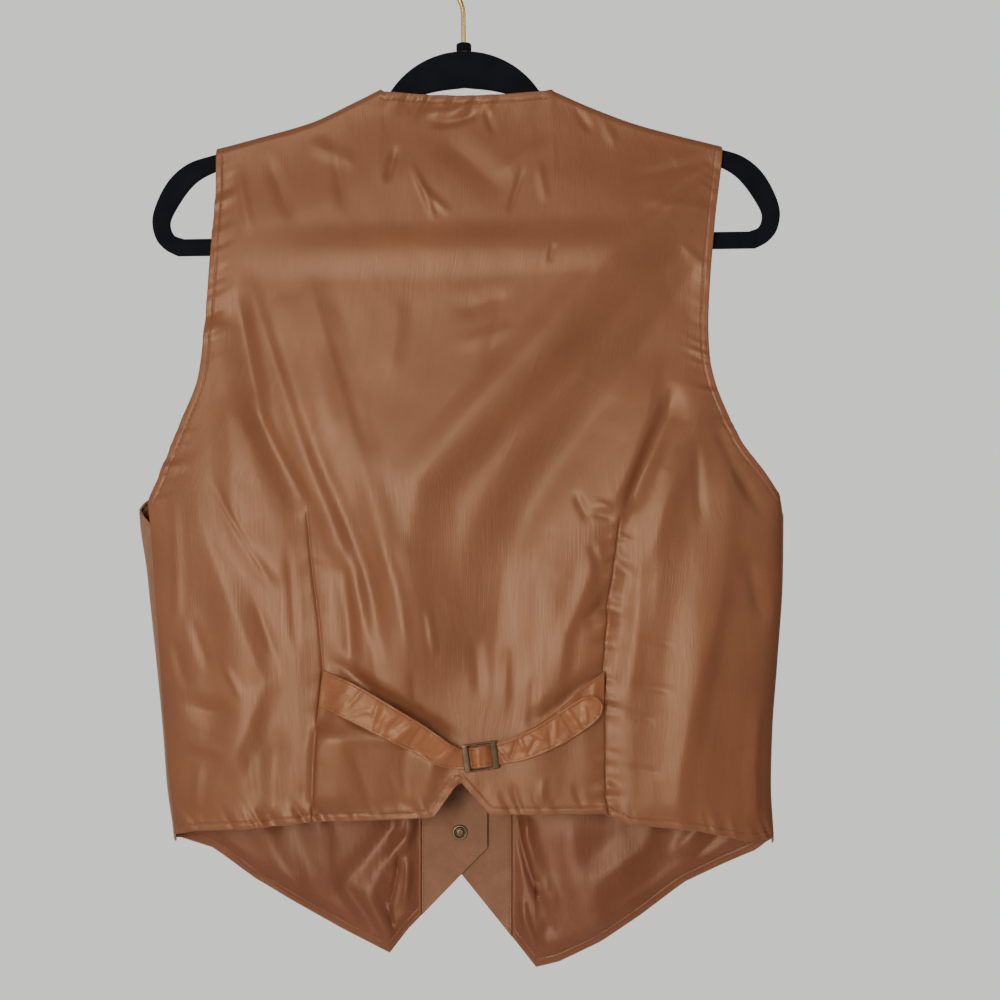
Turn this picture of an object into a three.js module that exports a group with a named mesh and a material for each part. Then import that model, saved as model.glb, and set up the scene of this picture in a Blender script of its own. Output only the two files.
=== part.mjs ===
// A western vest with a satin back and suede fronts, hanging on a slim hanger with a wire hook.
// Millimetres. The origin is the inside top of the hook's loop, +Z is up, -Y faces whoever looks at the back.
import * as THREE from 'three';

// Cloth walls and the gaps between pieces
const satin = 1.4;
const suede = 1.5;
const liningCloth = 1.0;
const facingSuede = 1.2;
const seamGap = 0.3;

// Hanger and hook
const hangerThick = 5.5;
const hangerTilt = THREE.MathUtils.degToRad(-0.78);
const hangerShift = -1.3;
const hangerEdge = 1.2;
const hookWire = 3.6;
const hookLoop = 19.5;
const stemTop = -62;
const stemFoot = -88.2;
const collarTop = -83;
const collarWide = 10.7;
const domeTop = -88.6;
const domeRadius = 63;
const domeHalf = 52.4;
const hookBend = 17;
const hookTip = -Math.PI / 6;

// The roll of the cloth over the hanger's arms, and the depth in which it eases into the body
const backRoll = 5.5;
const frontRoll = 6.4;
const rollDepth = 8;
const easeDepth = 60;

// Fronts: how far the outer one stands off the inner one, and where their edges lie
const lapStandOff = 3.9;
const lapFrom = 25;
const lapTo = 80;
const innerEdge = 16.5;
const outerEdge = -17;
const neckFoot = -385;
const facingWide = { left: 47, right: 51 };
const turnedHem = 7;
const turnedSide = 4;

// Shares of a panel's height given to the roll and, from here down, to the turned hem, and shares of a
// front's width that end the turned side and begin the facing
const rollShare = 0.12;
const hemShare = 0.98;
const sideShare = 0.03;
const facingShare = 0.75;
const liningStop = 0.0015;

// Closures and the cinch belt
const snapX = -3.1;
const snapTop = -402;
const snapFoot = -644.6;
const snapCount = 4;
const snapWide = 11.2;
const strapCloth = 1.2;
const buckle = {
  x: 12, z: -582.4, tilt: 8, wide: 24, high: 19, thick: 1.4, corner: 2.5,
  bar: 4, rail: 2, middle: 3, slotCorner: 0.9, lift: 4.3,
};

// Level sections of the body: the two outermost points, and how deep the back and the fronts hang
const squareness = 3;
const body = [
  { z: -110, left: -191, right: 195, back: 9, front: 10 },
  { z: -160, left: -192, right: 196, back: 10, front: 10 },
  { z: -230, left: -196, right: 198, back: 14, front: 12 },
  { z: -300, left: -203, right: 204, back: 20, front: 15 },
  { z: -360, left: -216, right: 216, back: 26, front: 18 },
  { z: -412, left: -229.6, right: 226, back: 30, front: 20 },
  { z: -459, left: -223.9, right: 225.5, back: 33, front: 22 },
  { z: -521, left: -217.2, right: 221.5, back: 35, front: 22 },
  { z: -569, left: -212.6, right: 218, back: 35.5, front: 21 },
  { z: -607, left: -209.7, right: 217, back: 36, front: 19 },
  { z: -645, left: -204.8, right: 219, back: 36, front: 17 },
  { z: -745, left: -199, right: 221, back: 34, front: 15 },
];

// Edges of the back: armhole above the underarm, side seam below it
const backLeft = [
  { z: -110, x: -175.5 },
  { z: -181, x: -175 },
  { z: -235, x: -178.7 },
  { z: -294, x: -183 },
  { z: -319, x: -186 },
  { z: -355, x: -199.8 },
  { z: -392, x: -214.7 },
  { z: -409, x: -221.3 },
  { z: -426, x: -219.5 },
  { z: -485, x: -215.3 },
  { z: -521, x: -213.2 },
  { z: -548, x: -211.8 },
  { z: -645, x: -203 },
  { z: -745, x: -197 },
];
const backRight = [
  { z: -110, x: 183.5 },
  { z: -157, x: 182.7 },
  { z: -209, x: 177 },
  { z: -256, x: 173.1 },
  { z: -285, x: 171.7 },
  { z: -304, x: 172.3 },
  { z: -323, x: 176 },
  { z: -364, x: 194 },
  { z: -392, x: 214.8 },
  { z: -407, x: 223.2 },
  { z: -419, x: 224.7 },
  { z: -459, x: 224.2 },
  { z: -521, x: 220.2 },
  { z: -569, x: 216.7 },
  { z: -607, x: 215.7 },
  { z: -645, x: 217.7 },
  { z: -745, x: 219.7 },
];

// Front armholes, cut deeper than the back's so that they stay hidden behind it
const frontLeft = [
  { z: -110, x: -171 },
  { z: -200, x: -165 },
  { z: -250, x: -163 },
  { z: -300, x: -168 },
  { z: -340, x: -183 },
  { z: -370, x: -199 },
  { z: -400, x: -217 },
];
const frontRight = [
  { z: -110, x: 177 },
  { z: -200, x: 166 },
  { z: -250, x: 160 },
  { z: -290, x: 159 },
  { z: -330, x: 168 },
  { z: -370, x: 190 },
  { z: -400, x: 212 },
];
const armholeFoot = -398;
const seamHead = -424;

// Upper edges, from shoulder tip to neck point on each side and across the neck
const shoulderLeft = [
  { x: -192, z: -161.5 },
  { x: -176.4, z: -158.2 },
  { x: -144.2, z: -149.7 },
  { x: -108.1, z: -139.2 },
  { x: -77.9, z: -125.1 },
  { x: -58.8, z: -115.5 },
];
const shoulderRight = [
  { x: 62.6, z: -116.4 },
  { x: 88.3, z: -127.8 },
  { x: 120.5, z: -139.9 },
  { x: 145.3, z: -146.8 },
  { x: 183.2, z: -156.2 },
  { x: 196, z: -159.5 },
];
const neckline = [
  { x: -58.8, z: -115.5 },
  { x: -55.6, z: -118 },
  { x: -24, z: -120.4 },
  { x: 0, z: -121.1 },
  { x: 25.5, z: -120.1 },
  { x: 57.2, z: -117.6 },
  { x: 62.6, z: -116.4 },
];
const neckLeft = -58.8;
const neckRight = 62.6;
const neckTurn = 4.2;

// Lower edges, with the notch of the back and the points of the fronts
const notch = { left: -20, top: -2.3, right: 18.5 };
const backHem = [
  { x: -210, z: -643 },
  { x: -201, z: -640.5 },
  { x: -187, z: -636.6 },
  { x: -147, z: -633.7 },
  { x: -103, z: -628.6 },
  { x: -37, z: -626.3 },
  { x: notch.left, z: -625 },
  { x: notch.top, z: -599.7 },
  { x: notch.right, z: -623.3 },
  { x: 97, z: -622.8 },
  { x: 113, z: -630 },
  { x: 160, z: -635 },
  { x: 185, z: -640.5 },
  { x: 197, z: -644 },
  { x: 222, z: -643.5 },
];
const pointLeft = -53.6;
const pointRight = 51.5;
const leftHem = [
  { x: -210, z: -643 },
  { x: -197, z: -648.5 },
  { x: -179, z: -655 },
  { x: -150, z: -677 },
  { x: -122, z: -694 },
  { x: -90, z: -712 },
  { x: pointLeft, z: -731 },
  { x: -40, z: -713.5 },
  { x: innerEdge, z: -655.5 },
];
const rightHem = [
  { x: outerEdge, z: -657 },
  { x: pointRight, z: -741.6 },
  { x: 67.5, z: -737.4 },
  { x: 98, z: -722.7 },
  { x: 126.5, z: -703.5 },
  { x: 157.4, z: -680 },
  { x: 184, z: -667 },
  { x: 209, z: -655.5 },
  { x: 222, z: -643.5 },
];

// Largest folds: a ridge where rise is above 0 and a trough where it is below, half its width to each side
const backFolds = [
  { x1: -110, z1: -400, x2: -98, z2: -545, half: 19, rise: -3.0 },
  { x1: -97, z1: -500, x2: -104, z2: -660, half: 18, rise: -2.2 },
  { x1: 110, z1: -404, x2: 98, z2: -545, half: 19, rise: -3.0 },
  { x1: 97, z1: -500, x2: 103, z2: -660, half: 18, rise: -2.2 },
  { x1: -175, z1: -234, x2: 172, z2: -227, half: 22, rise: 2.6 },
  { x1: 118, z1: -235, x2: -40, z2: -408, half: 27, rise: 3.6 },
  { x1: 92, z1: -325, x2: -4, z2: -480, half: 29, rise: -3.0 },
  { x1: -122, z1: -262, x2: -58, z2: -450, half: 21, rise: 3.4 },
  { x1: -94, z1: -290, x2: -52, z2: -530, half: 19, rise: -2.4 },
  { x1: -142, z1: -345, x2: -108, z2: -436, half: 19, rise: -3.0 },
  { x1: 152, z1: -350, x2: 118, z2: -460, half: 20, rise: 3.0 },
  { x1: 134, z1: -385, x2: 104, z2: -530, half: 19, rise: -2.4 },
  { x1: -160, z1: -430, x2: -150, z2: -655, half: 24, rise: 3.0 },
  { x1: 165, z1: -430, x2: 158, z2: -665, half: 25, rise: 2.8 },
  { x1: -40, z1: -430, x2: -52, z2: -640, half: 23, rise: 2.4 },
  { x1: 60, z1: -430, x2: 48, z2: -640, half: 23, rise: 2.2 },
];
const frontFolds = [
  { x1: -118, z1: -180, x2: -88, z2: -420, half: 22, rise: 3.0 },
  { x1: -150, z1: -420, x2: -132, z2: -690, half: 24, rise: 2.6 },
  { x1: -70, z1: -330, x2: -78, z2: -720, half: 22, rise: -2.2 },
  { x1: 122, z1: -180, x2: 92, z2: -430, half: 22, rise: 2.8 },
  { x1: 152, z1: -430, x2: 138, z2: -690, half: 24, rise: 2.6 },
  { x1: 84, z1: -340, x2: 86, z2: -725, half: 22, rise: -2.2 },
];

// Straps: the middle line, half the width across, and how far the underside stands off the back
const longStrap = [
  { x: -98.5, z: -536.4, half: 12.4, lift: 0.5 },
  { x: -82, z: -542.5, half: 12.3, lift: 1.2 },
  { x: -67, z: -549.8, half: 11.8, lift: 2.0 },
  { x: -52, z: -557.6, half: 11.3, lift: 2.6 },
  { x: -37, z: -565.9, half: 10.6, lift: 2.8 },
  { x: -22, z: -574.6, half: 9.8, lift: 2.6 },
  { x: -10, z: -581.5, half: 8.6, lift: 2.4 },
  { x: -1, z: -584.2, half: 7.2, lift: 2.3 },
  { x: 4.5, z: -583.6, half: 7.1, lift: 2.6 },
  { x: 9.6, z: -582.8, half: 7.1, lift: 6.2 },
  { x: 14.4, z: -582.1, half: 7.1, lift: 6.2 },
  { x: 19.5, z: -581.4, half: 7.1, lift: 2.8 },
  { x: 25, z: -580.5, half: 7.3, lift: 2.7 },
  { x: 37, z: -577.6, half: 8.3, lift: 2.9 },
  { x: 52, z: -571.4, half: 9.2, lift: 3.1 },
  { x: 67, z: -563.2, half: 9.8, lift: 3.3 },
  { x: 80, z: -554.8, half: 10.0, lift: 3.4 },
  { x: 88, z: -549.2, half: 8.6, lift: 3.4 },
  { x: 93, z: -545.8, half: 4.6, lift: 3.3 },
];
const shortStrap = [
  { x: 97.5, z: -539.0, half: 12.2, lift: 0.5 },
  { x: 88, z: -545.4, half: 11.8, lift: 0.8 },
  { x: 74, z: -556.0, half: 11.0, lift: 1.1 },
  { x: 58, z: -566.6, half: 9.8, lift: 1.3 },
  { x: 42, z: -574.6, half: 8.6, lift: 1.2 },
  { x: 26, z: -579.8, half: 7.4, lift: 1.0 },
  { x: 17, z: -581.6, half: 7.1, lift: 1.0 },
  { x: 10, z: -582.7, half: 7.1, lift: 2.0 },
];

// Outline of the hanger's right half before it is tilted, from the dome to the bar, and of its opening
const armOutline = [
  [57, -120.4], [63, -122.8], [78, -127.6], [88, -132.1], [103, -138.4], [120, -144.4], [145, -151.6],
  [167, -157.4], [179, -160.1], [196, -165.6], [209, -176], [218.5, -192], [222.3, -206],
  [219.5, -219], [213, -226.5], [204.5, -231],
];
const armOpening = [
  [0, -114.4], [22.7, -117.3], [56.7, -127.9], [77.2, -137.8], [107.7, -152], [143.1, -162.6],
  [175.7, -171.1], [191.3, -179.6], [204.5, -196.5], [209.5, -208], [207, -216], [200, -219],
];

// Finishes
const finish = (color, roughness, metalness = 0) => new THREE.MeshStandardMaterial({ color, roughness, metalness });
const satinFinish = finish(0x965a3c, 0.42);
const suedeFinish = finish(0x96694b, 0.95);
const velvetFinish = finish(0x141416, 0.9);
const goldFinish = finish(0xb8913f, 0.3, 1);
const brassFinish = finish(0x4b4136, 0.45, 1);

// Reads one column of a table at a place between its rows, by straight lines
function lineAt(rows, by, at, want) {
  const up = rows[0][by] < rows[rows.length - 1][by] ? rows : [...rows].reverse();
  if (at <= up[0][by]) return up[0][want];
  const next = up.findIndex((row) => row[by] >= at);
  if (next < 0) return up[up.length - 1][want];
  const from = up[next - 1];
  const to = up[next];
  return THREE.MathUtils.mapLinear(at, from[by], to[by], from[want], to[want]);
}

// The same by a smooth curve that does not overshoot its rows
function curveAt(rows, by, at, want) {
  const up = rows[0][by] < rows[rows.length - 1][by] ? rows : [...rows].reverse();
  const last = up.length - 1;
  if (at <= up[0][by]) return up[0][want];
  if (at >= up[last][by]) return up[last][want];
  const next = up.findIndex((row) => row[by] >= at);
  const slope = (i) => (up[i][want] - up[i - 1][want]) / (up[i][by] - up[i - 1][by]);
  const tangent = (i) => {
    if (i === 0) return slope(1);
    if (i === last) return slope(last);
    const before = slope(i);
    const after = slope(i + 1);
    return before * after <= 0 ? 0 : (2 * before * after) / (before + after);
  };
  const from = up[next - 1];
  const to = up[next];
  const span = to[by] - from[by];
  const t = (at - from[by]) / span;
  const a = from[want] * (1 + 2 * t) * (1 - t) ** 2 + tangent(next - 1) * span * t * (1 - t) ** 2;
  const b = to[want] * t * t * (3 - 2 * t) + tangent(next) * span * t * t * (t - 1);
  return a + b;
}

const ease = (t) => THREE.MathUtils.smoothstep(t, 0, 1);

// Level section of the body at z. Angle 0 is the middle of the fronts, a quarter turn is the wearer's
// right side and half a turn is the middle of the back.
function sectionAt(z) {
  const left = curveAt(body, 'z', z, 'left');
  const right = curveAt(body, 'z', z, 'right');
  return {
    middle: (left + right) / 2,
    half: (right - left) / 2,
    back: curveAt(body, 'z', z, 'back'),
    front: curveAt(body, 'z', z, 'front'),
  };
}

function ringPoint(section, angle) {
  const power = 2 / squareness;
  const across = Math.sin(angle);
  const along = Math.cos(angle);
  const x = section.middle + section.half * Math.sign(across) * Math.abs(across) ** power;
  const depth = along > 0 ? section.front : section.back;
  return { x, y: depth * Math.sign(along) * Math.abs(along) ** power };
}

// Angle at which the section has the wanted x, on its front half or on its back half
function angleAt(z, x, onBack) {
  const section = sectionAt(z);
  const share = THREE.MathUtils.clamp((x - section.middle) / section.half, -1, 1);
  const angle = Math.asin(Math.sign(share) * Math.abs(share) ** (squareness / 2));
  return onBack ? Math.PI - angle : angle;
}

function topLine(x) {
  if (x <= neckLeft) return curveAt(shoulderLeft, 'x', x, 'z');
  if (x >= neckRight) return curveAt(shoulderRight, 'x', x, 'z');
  return lineAt(neckline, 'x', x, 'z');
}

// Angle between the edges of the back and of a front at the side seam
const seamTurn = 0.008;

// Panels: the two edge angles at a level, the lower edge, and the side of the body that they lie on
const backPanel = {
  outward: -1,
  share: (u) => u,
  from: (z) => angleAt(z, curveAt(backLeft, 'z', z, 'x'), true),
  to: (z) => angleAt(z, curveAt(backRight, 'z', z, 'x'), true),
  top: topLine,
  low: (x) => lineAt(backHem, 'x', x, 'z'),
};

function frontEdge(z, x, blended, side) {
  const armhole = angleAt(z, x, false);
  const seam = blended(z) + seamTurn * side;
  const turn = ease((armholeFoot - z) / (armholeFoot - seamHead));
  return armhole + (seam - armhole) * turn;
}

// Share of a front's width at u, with the turned side and the facing at their real widths
function frontShare(u, length, facing) {
  const side = turnedSide / length;
  const faced = 1 - facing / length;
  if (u < sideShare) return THREE.MathUtils.mapLinear(u, 0, sideShare, 0, side);
  if (u < facingShare) return THREE.MathUtils.mapLinear(u, sideShare, facingShare, side, faced);
  return THREE.MathUtils.mapLinear(u, facingShare, 1, faced, 1);
}

const leftPanel = {
  outward: 1,
  share: (u, length) => frontShare(u, length, facingWide.left),
  from: (z) => frontEdge(z, curveAt(frontLeft, 'z', z, 'x'), (at) => backPanel.from(at) - 2 * Math.PI, 1),
  to: (z) => angleAt(z, frontNeck(z, neckLeft, innerEdge), false),
  top: (x) => topLine(Math.min(x, neckLeft)),
  low: (x) => lineAt(leftHem, 'x', x, 'z'),
};
const rightPanel = {
  outward: -1,
  share: (u, length) => frontShare(u, length, facingWide.right),
  from: (z) => frontEdge(z, curveAt(frontRight, 'z', z, 'x'), backPanel.to, -1),
  to: (z) => angleAt(z, frontNeck(z, neckRight, outerEdge), false),
  top: (x) => topLine(Math.max(x, neckRight)),
  low: (x) => lineAt(rightHem, 'x', x, 'z'),
  laps: true,
};

// Neck edge of a front: a slightly hollow slant from the neck point down to the closing edge
function frontNeck(z, neckPoint, edge) {
  const head = topLine(neckPoint);
  const down = THREE.MathUtils.clamp((head - z) / (head - neckFoot), 0, 1);
  const hollow = 5 * Math.sin(Math.PI * down) * Math.sign(neckPoint);
  return neckPoint + (edge - neckPoint) * down + hollow;
}

function foldRise(folds, x, z) {
  let rise = 0;
  for (const fold of folds) {
    const run = { x: fold.x2 - fold.x1, z: fold.z2 - fold.z1 };
    const length = Math.hypot(run.x, run.z);
    const along = ((x - fold.x1) * run.x + (z - fold.z1) * run.z) / (length * length);
    const off = Math.abs((x - fold.x1) * run.z - (z - fold.z1) * run.x) / length;
    if (along <= 0 || along >= 1 || off >= fold.half) continue;
    const across = Math.cos((off / fold.half) * (Math.PI / 2)) ** 2;
    rise += fold.rise * across * Math.sin(Math.PI * along) ** 0.8;
  }
  return rise;
}

// Cloth surface at a place on a section: rolled over the arm at the top, eased into the section, folded
function drape(panel, place, z) {
  const onBack = place.y < 0;
  const down = Math.max(panel.top(place.x) - z, 0);
  const roll = onBack ? backRoll : frontRoll;
  const inNeck = Math.min(place.x - neckLeft, neckRight - place.x) / neckTurn;
  const edge = onBack ? seamGap / 2 + (roll - seamGap / 2) * ease(inNeck) : seamGap / 2;
  const turn = Math.sqrt(1 - (1 - Math.min(down / roll, 1)) ** 2);
  const rolled = edge + (roll - edge) * turn;
  const eased = ease((down - roll) / easeDepth);
  let depth = rolled + (Math.abs(place.y) - rolled) * eased;
  depth += foldRise(onBack ? backFolds : frontFolds, place.x, z) * eased * ease(Math.abs(place.y) / 8);
  if (panel.laps) depth += lapStandOff * (1 - ease((place.x - lapFrom) / (lapTo - lapFrom))) * eased;
  return new THREE.Vector3(place.x, onBack ? -depth : depth, z);
}

// Angle at a share of the panel's width, measured along the cloth
const arcSteps = 72;
function angleAcross(panel, section, z, share) {
  const from = panel.from(z);
  const to = panel.to(z);
  const reach = [0];
  let last = ringPoint(section, from);
  for (let i = 1; i <= arcSteps; i++) {
    const here = ringPoint(section, from + ((to - from) * i) / arcSteps);
    reach.push(reach[i - 1] + Math.hypot(here.x - last.x, here.y - last.y));
    last = here;
  }
  const wanted = share(reach[arcSteps]) * reach[arcSteps];
  let i = 1;
  while (i < arcSteps && reach[i] < wanted) i++;
  const part = (wanted - reach[i - 1]) / (reach[i] - reach[i - 1]);
  return from + ((to - from) * (i - 1 + part)) / arcSteps;
}

function placeAcross(panel, z, share) {
  const section = sectionAt(z);
  return ringPoint(section, angleAcross(panel, section, z, share));
}

// A column's upper or lower end, found where its own x meets the panel's edge line
function endAcross(panel, line, share, start) {
  let z = start;
  for (let i = 0; i < 4; i++) z = line(placeAcross(panel, z, share).x);
  return z;
}

// Point of a panel's outer face, u across and v down the cloth
function clothPoint(panel) {
  const ends = new Map();
  const endsOf = (u) => {
    if (!ends.has(u)) {
      const share = (length) => panel.share(u, length);
      const top = endAcross(panel, panel.top, share, -140);
      const low = endAcross(panel, panel.low, share, -650);
      ends.set(u, { top, low });
    }
    return ends.get(u);
  };
  return (u, v) => {
    const { top, low } = endsOf(u);
    const height = top - low;
    let down = rollDepth * (v / rollShare) ** 2;
    if (v > rollShare) {
      down = THREE.MathUtils.mapLinear(v, rollShare, hemShare, rollDepth, height - turnedHem);
    }
    if (v > hemShare) down = THREE.MathUtils.mapLinear(v, hemShare, 1, height - turnedHem, height);
    const z = top - down;
    return drape(panel, placeAcross(panel, z, (length) => panel.share(u, length)), z);
  };
}

function normalOf(point, u, v, outward) {
  const step = 0.001;
  const across = point(Math.min(u + step, 1), v).sub(point(Math.max(u - step, 0), v));
  const down = point(u, Math.min(v + step, 1)).sub(point(u, Math.max(v - step, 0)));
  return across.cross(down).normalize().multiplyScalar(outward);
}

// Closed wall between two grids of points, with faces pointing out
function wallGeometry(outer, inner) {
  const rows = outer.length;
  const columns = outer[0].length;
  const positions = [];
  for (const grid of [outer, inner]) {
    for (const row of grid) for (const p of row) positions.push(p.x, p.y, p.z);
  }
  const at = (layer, r, c) => layer * rows * columns + r * columns + c;
  const faces = [];
  const quad = (a, b, c, d) => faces.push(a, b, c, a, c, d);
  for (let r = 0; r < rows - 1; r++) {
    for (let c = 0; c < columns - 1; c++) {
      quad(at(0, r, c), at(0, r + 1, c), at(0, r + 1, c + 1), at(0, r, c + 1));
      quad(at(1, r, c), at(1, r, c + 1), at(1, r + 1, c + 1), at(1, r + 1, c));
    }
  }
  for (let c = 0; c < columns - 1; c++) {
    quad(at(0, 0, c), at(0, 0, c + 1), at(1, 0, c + 1), at(1, 0, c));
    quad(at(0, rows - 1, c), at(1, rows - 1, c), at(1, rows - 1, c + 1), at(0, rows - 1, c + 1));
  }
  for (let r = 0; r < rows - 1; r++) {
    quad(at(0, r, 0), at(1, r, 0), at(1, r + 1, 0), at(0, r + 1, 0));
    quad(at(0, r, columns - 1), at(0, r + 1, columns - 1), at(1, r + 1, columns - 1), at(1, r, columns - 1));
  }
  let volume = 0;
  const point = (i) => new THREE.Vector3().fromArray(positions, i * 3);
  for (let i = 0; i < faces.length; i += 3) {
    volume += point(faces[i]).dot(point(faces[i + 1]).cross(point(faces[i + 2])));
  }
  if (volume < 0) faces.reverse();
  const geometry = new THREE.BufferGeometry();
  geometry.setAttribute('position', new THREE.Float32BufferAttribute(positions, 3));
  geometry.setIndex(faces);
  geometry.computeVertexNormals();
  return geometry;
}

// Evenly spaced values between breaks that must stay, with a count for each stretch
function spread(breaks, counts) {
  const values = [breaks[0]];
  counts.forEach((count, k) => {
    for (let i = 1; i <= count; i++) values.push(breaks[k] + ((breaks[k + 1] - breaks[k]) * i) / count);
  });
  return values;
}

// Share of a panel's width at which a column passes x at the level z
function shareAtX(panel, z, x) {
  const xAt = (u) => placeAcross(panel, z, (length) => panel.share(u, length)).x;
  const rising = xAt(1) > xAt(0);
  let low = 0;
  let high = 1;
  for (let i = 0; i < 30; i++) {
    const middle = (low + high) / 2;
    if (xAt(middle) < x === rising) low = middle;
    else high = middle;
  }
  return (low + high) / 2;
}

for (const panel of [backPanel, leftPanel, rightPanel]) panel.point = clothPoint(panel);

const vest = new THREE.Group();

function addMesh(name, geometry, material, parent = vest) {
  const mesh = new THREE.Mesh(geometry, material);
  mesh.name = name;
  parent.add(mesh);
  return mesh;
}

// Wall of cloth whose outer face lies a given depth under the panel's own
function addLayer(name, panel, columns, rows, depth, thick, material) {
  const outer = [];
  const inner = [];
  for (const v of rows) {
    const points = columns.map((u) => ({ at: panel.point(u, v), normal: normalOf(panel.point, u, v, panel.outward) }));
    outer.push(points.map(({ at, normal }) => at.clone().addScaledVector(normal, -depth)));
    inner.push(points.map(({ at, normal }) => at.clone().addScaledVector(normal, -depth - thick)));
  }
  addMesh(name, wallGeometry(outer, inner), material);
  return { outer, inner };
}

const rollRows = spread([0, rollShare], [4]);
const bodyRows = spread([rollShare, hemShare], [21]);
const panelRows = [...rollRows, ...bodyRows.slice(1), 1];

function addBack() {
  const marks = [
    [-140, neckLeft],
    [-140, neckLeft + neckTurn],
    [-625, notch.left],
    [-600, notch.top],
    [-625, notch.right],
    [-140, neckRight - neckTurn],
    [-140, neckRight],
  ];
  const shares = [0, ...marks.map(([z, x]) => shareAtX(backPanel, z, x)), 1];
  const columns = spread(shares, [10, 1, 3, 2, 2, 3, 1, 10]);
  return addLayer('back', backPanel, columns, panelRows, 0, satin, satinFinish);
}

// A front with its lining and facing, which use the same columns and rows and lie inside it
function addFront(side, panel, pointX) {
  const kink = shareAtX(panel, -720, pointX);
  const columns = spread([0, sideShare, kink, facingShare, 1], [1, 9, 2, 3]);
  const front = addLayer(`front_${side}`, panel, columns, panelRows, 0, suede, suedeFinish);
  const under = suede + seamGap;
  const lined = columns.filter((u) => u >= sideShare && u <= facingShare);
  lined[lined.length - 1] -= liningStop;
  addLayer(`front_${side}_lining`, panel, lined, bodyRows, under, liningCloth, satinFinish);
  const faced = columns.filter((u) => u >= facingShare);
  const facing = addLayer(`front_${side}_facing`, panel, faced, [...bodyRows, 1], under, facingSuede, suedeFinish);
  return { front, facing };
}

// The flat face of a grid of points that lies over x and z
function faceAt(grid, x, z) {
  const at = new THREE.Vector3(x, 0, z);
  for (let r = 0; r < grid.length - 1; r++) {
    for (let c = 0; c < grid[r].length - 1; c++) {
      const corners = [grid[r][c], grid[r + 1][c], grid[r + 1][c + 1], grid[r][c + 1]];
      for (const [i, j, k] of [[0, 1, 2], [0, 2, 3]]) {
        const face = new THREE.Triangle(corners[i], corners[j], corners[k]);
        const flat = new THREE.Triangle(...[face.a, face.b, face.c].map((p) => p.clone().setY(0)));
        if (!flat.containsPoint(at)) continue;
        const share = flat.getBarycoord(at, new THREE.Vector3());
        const y = face.a.y * share.x + face.b.y * share.y + face.c.y * share.z;
        return { y, normal: face.getNormal(new THREE.Vector3()) };
      }
    }
  }
  throw new Error(`no cloth at ${x}, ${z}`);
}

// Strap whose underside stands off the cloth under it by the lift of its table
function addStrap(name, table, cloth) {
  const outer = [];
  const inner = [];
  table.forEach((row, i) => {
    const ahead = table[Math.min(i + 1, table.length - 1)];
    const behind = table[Math.max(i - 1, 0)];
    const run = new THREE.Vector2(ahead.x - behind.x, ahead.z - behind.z).normalize();
    const base = [-1, 0, 1].map((share) => {
      const x = row.x - run.y * row.half * share;
      const z = row.z + run.x * row.half * share;
      return new THREE.Vector3(x, faceAt(cloth, x, z).y, z);
    });
    inner.push(base.map((p) => p.clone().setY(p.y - row.lift)));
    outer.push(base.map((p) => p.clone().setY(p.y - row.lift - strapCloth)));
  });
  addMesh(name, wallGeometry(outer, inner), satinFinish);
}

// Rectangle with round corners, its middle at x, drawn with a Shape or as a hole with a Path
function roundedBox(outline, x, wide, high, radius) {
  const across = wide / 2 - radius;
  const up = high / 2 - radius;
  outline.absarc(x + across, up, radius, 0, Math.PI / 2);
  outline.absarc(x - across, up, radius, Math.PI / 2, Math.PI);
  outline.absarc(x - across, -up, radius, Math.PI, 1.5 * Math.PI);
  outline.absarc(x + across, -up, radius, 1.5 * Math.PI, 2 * Math.PI);
  return outline;
}

// Slider: a flat frame with a middle bar, lying over both straps
function addBuckle(cloth) {
  const plate = roundedBox(new THREE.Shape(), 0, buckle.wide, buckle.high, buckle.corner);
  const slotWide = (buckle.wide - 2 * buckle.bar - buckle.middle) / 2;
  const slotHigh = buckle.high - 2 * buckle.rail;
  for (const side of [-1, 1]) {
    const x = (side * (buckle.middle + slotWide)) / 2;
    plate.holes.push(roundedBox(new THREE.Path(), x, slotWide, slotHigh, buckle.slotCorner));
  }
  const geometry = new THREE.ExtrudeGeometry(plate, { depth: buckle.thick, bevelEnabled: false, curveSegments: 2 });
  geometry.rotateX(Math.PI / 2);
  const mesh = addMesh('buckle', geometry, brassFinish);
  mesh.position.set(buckle.x, faceAt(cloth, buckle.x, buckle.z).y - buckle.lift, buckle.z);
  mesh.rotation.y = THREE.MathUtils.degToRad(-buckle.tilt);
}

// Snaps: a domed cap outside the lapping front and a flat ring inside the other
function addSnaps(lapping, under) {
  const radius = snapWide / 2;
  const cap = [[0, 0], [radius, 0], [radius, 0.7], [radius * 0.8, 1.7], [radius * 0.42, 2.3], [0, 2.5]];
  const ring = [[1.5, 0], [radius, 0], [radius, 0.6], [radius * 0.7, 1.2], [radius * 0.42, 0.8], [1.5, 1.1], [1.5, 0]];
  const seat = (name, profile, grid, z, side) => {
    const geometry = new THREE.LatheGeometry(profile.map(([x, y]) => new THREE.Vector2(x, y)), 14);
    const mesh = addMesh(name, geometry, brassFinish);
    const face = faceAt(grid, snapX, z);
    const normal = face.normal.multiplyScalar(side * Math.sign(face.normal.y));
    mesh.quaternion.setFromUnitVectors(new THREE.Vector3(0, 1, 0), normal);
    mesh.position.set(snapX, face.y, z).addScaledVector(normal, seamGap);
  };
  for (let i = 0; i < snapCount; i++) {
    const z = snapTop + ((snapFoot - snapTop) * i) / (snapCount - 1);
    seat(`snap_cap_${i + 1}`, cap, lapping, z, 1);
    seat(`snap_ring_${i + 1}`, ring, under, z, -1);
  }
}

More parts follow.
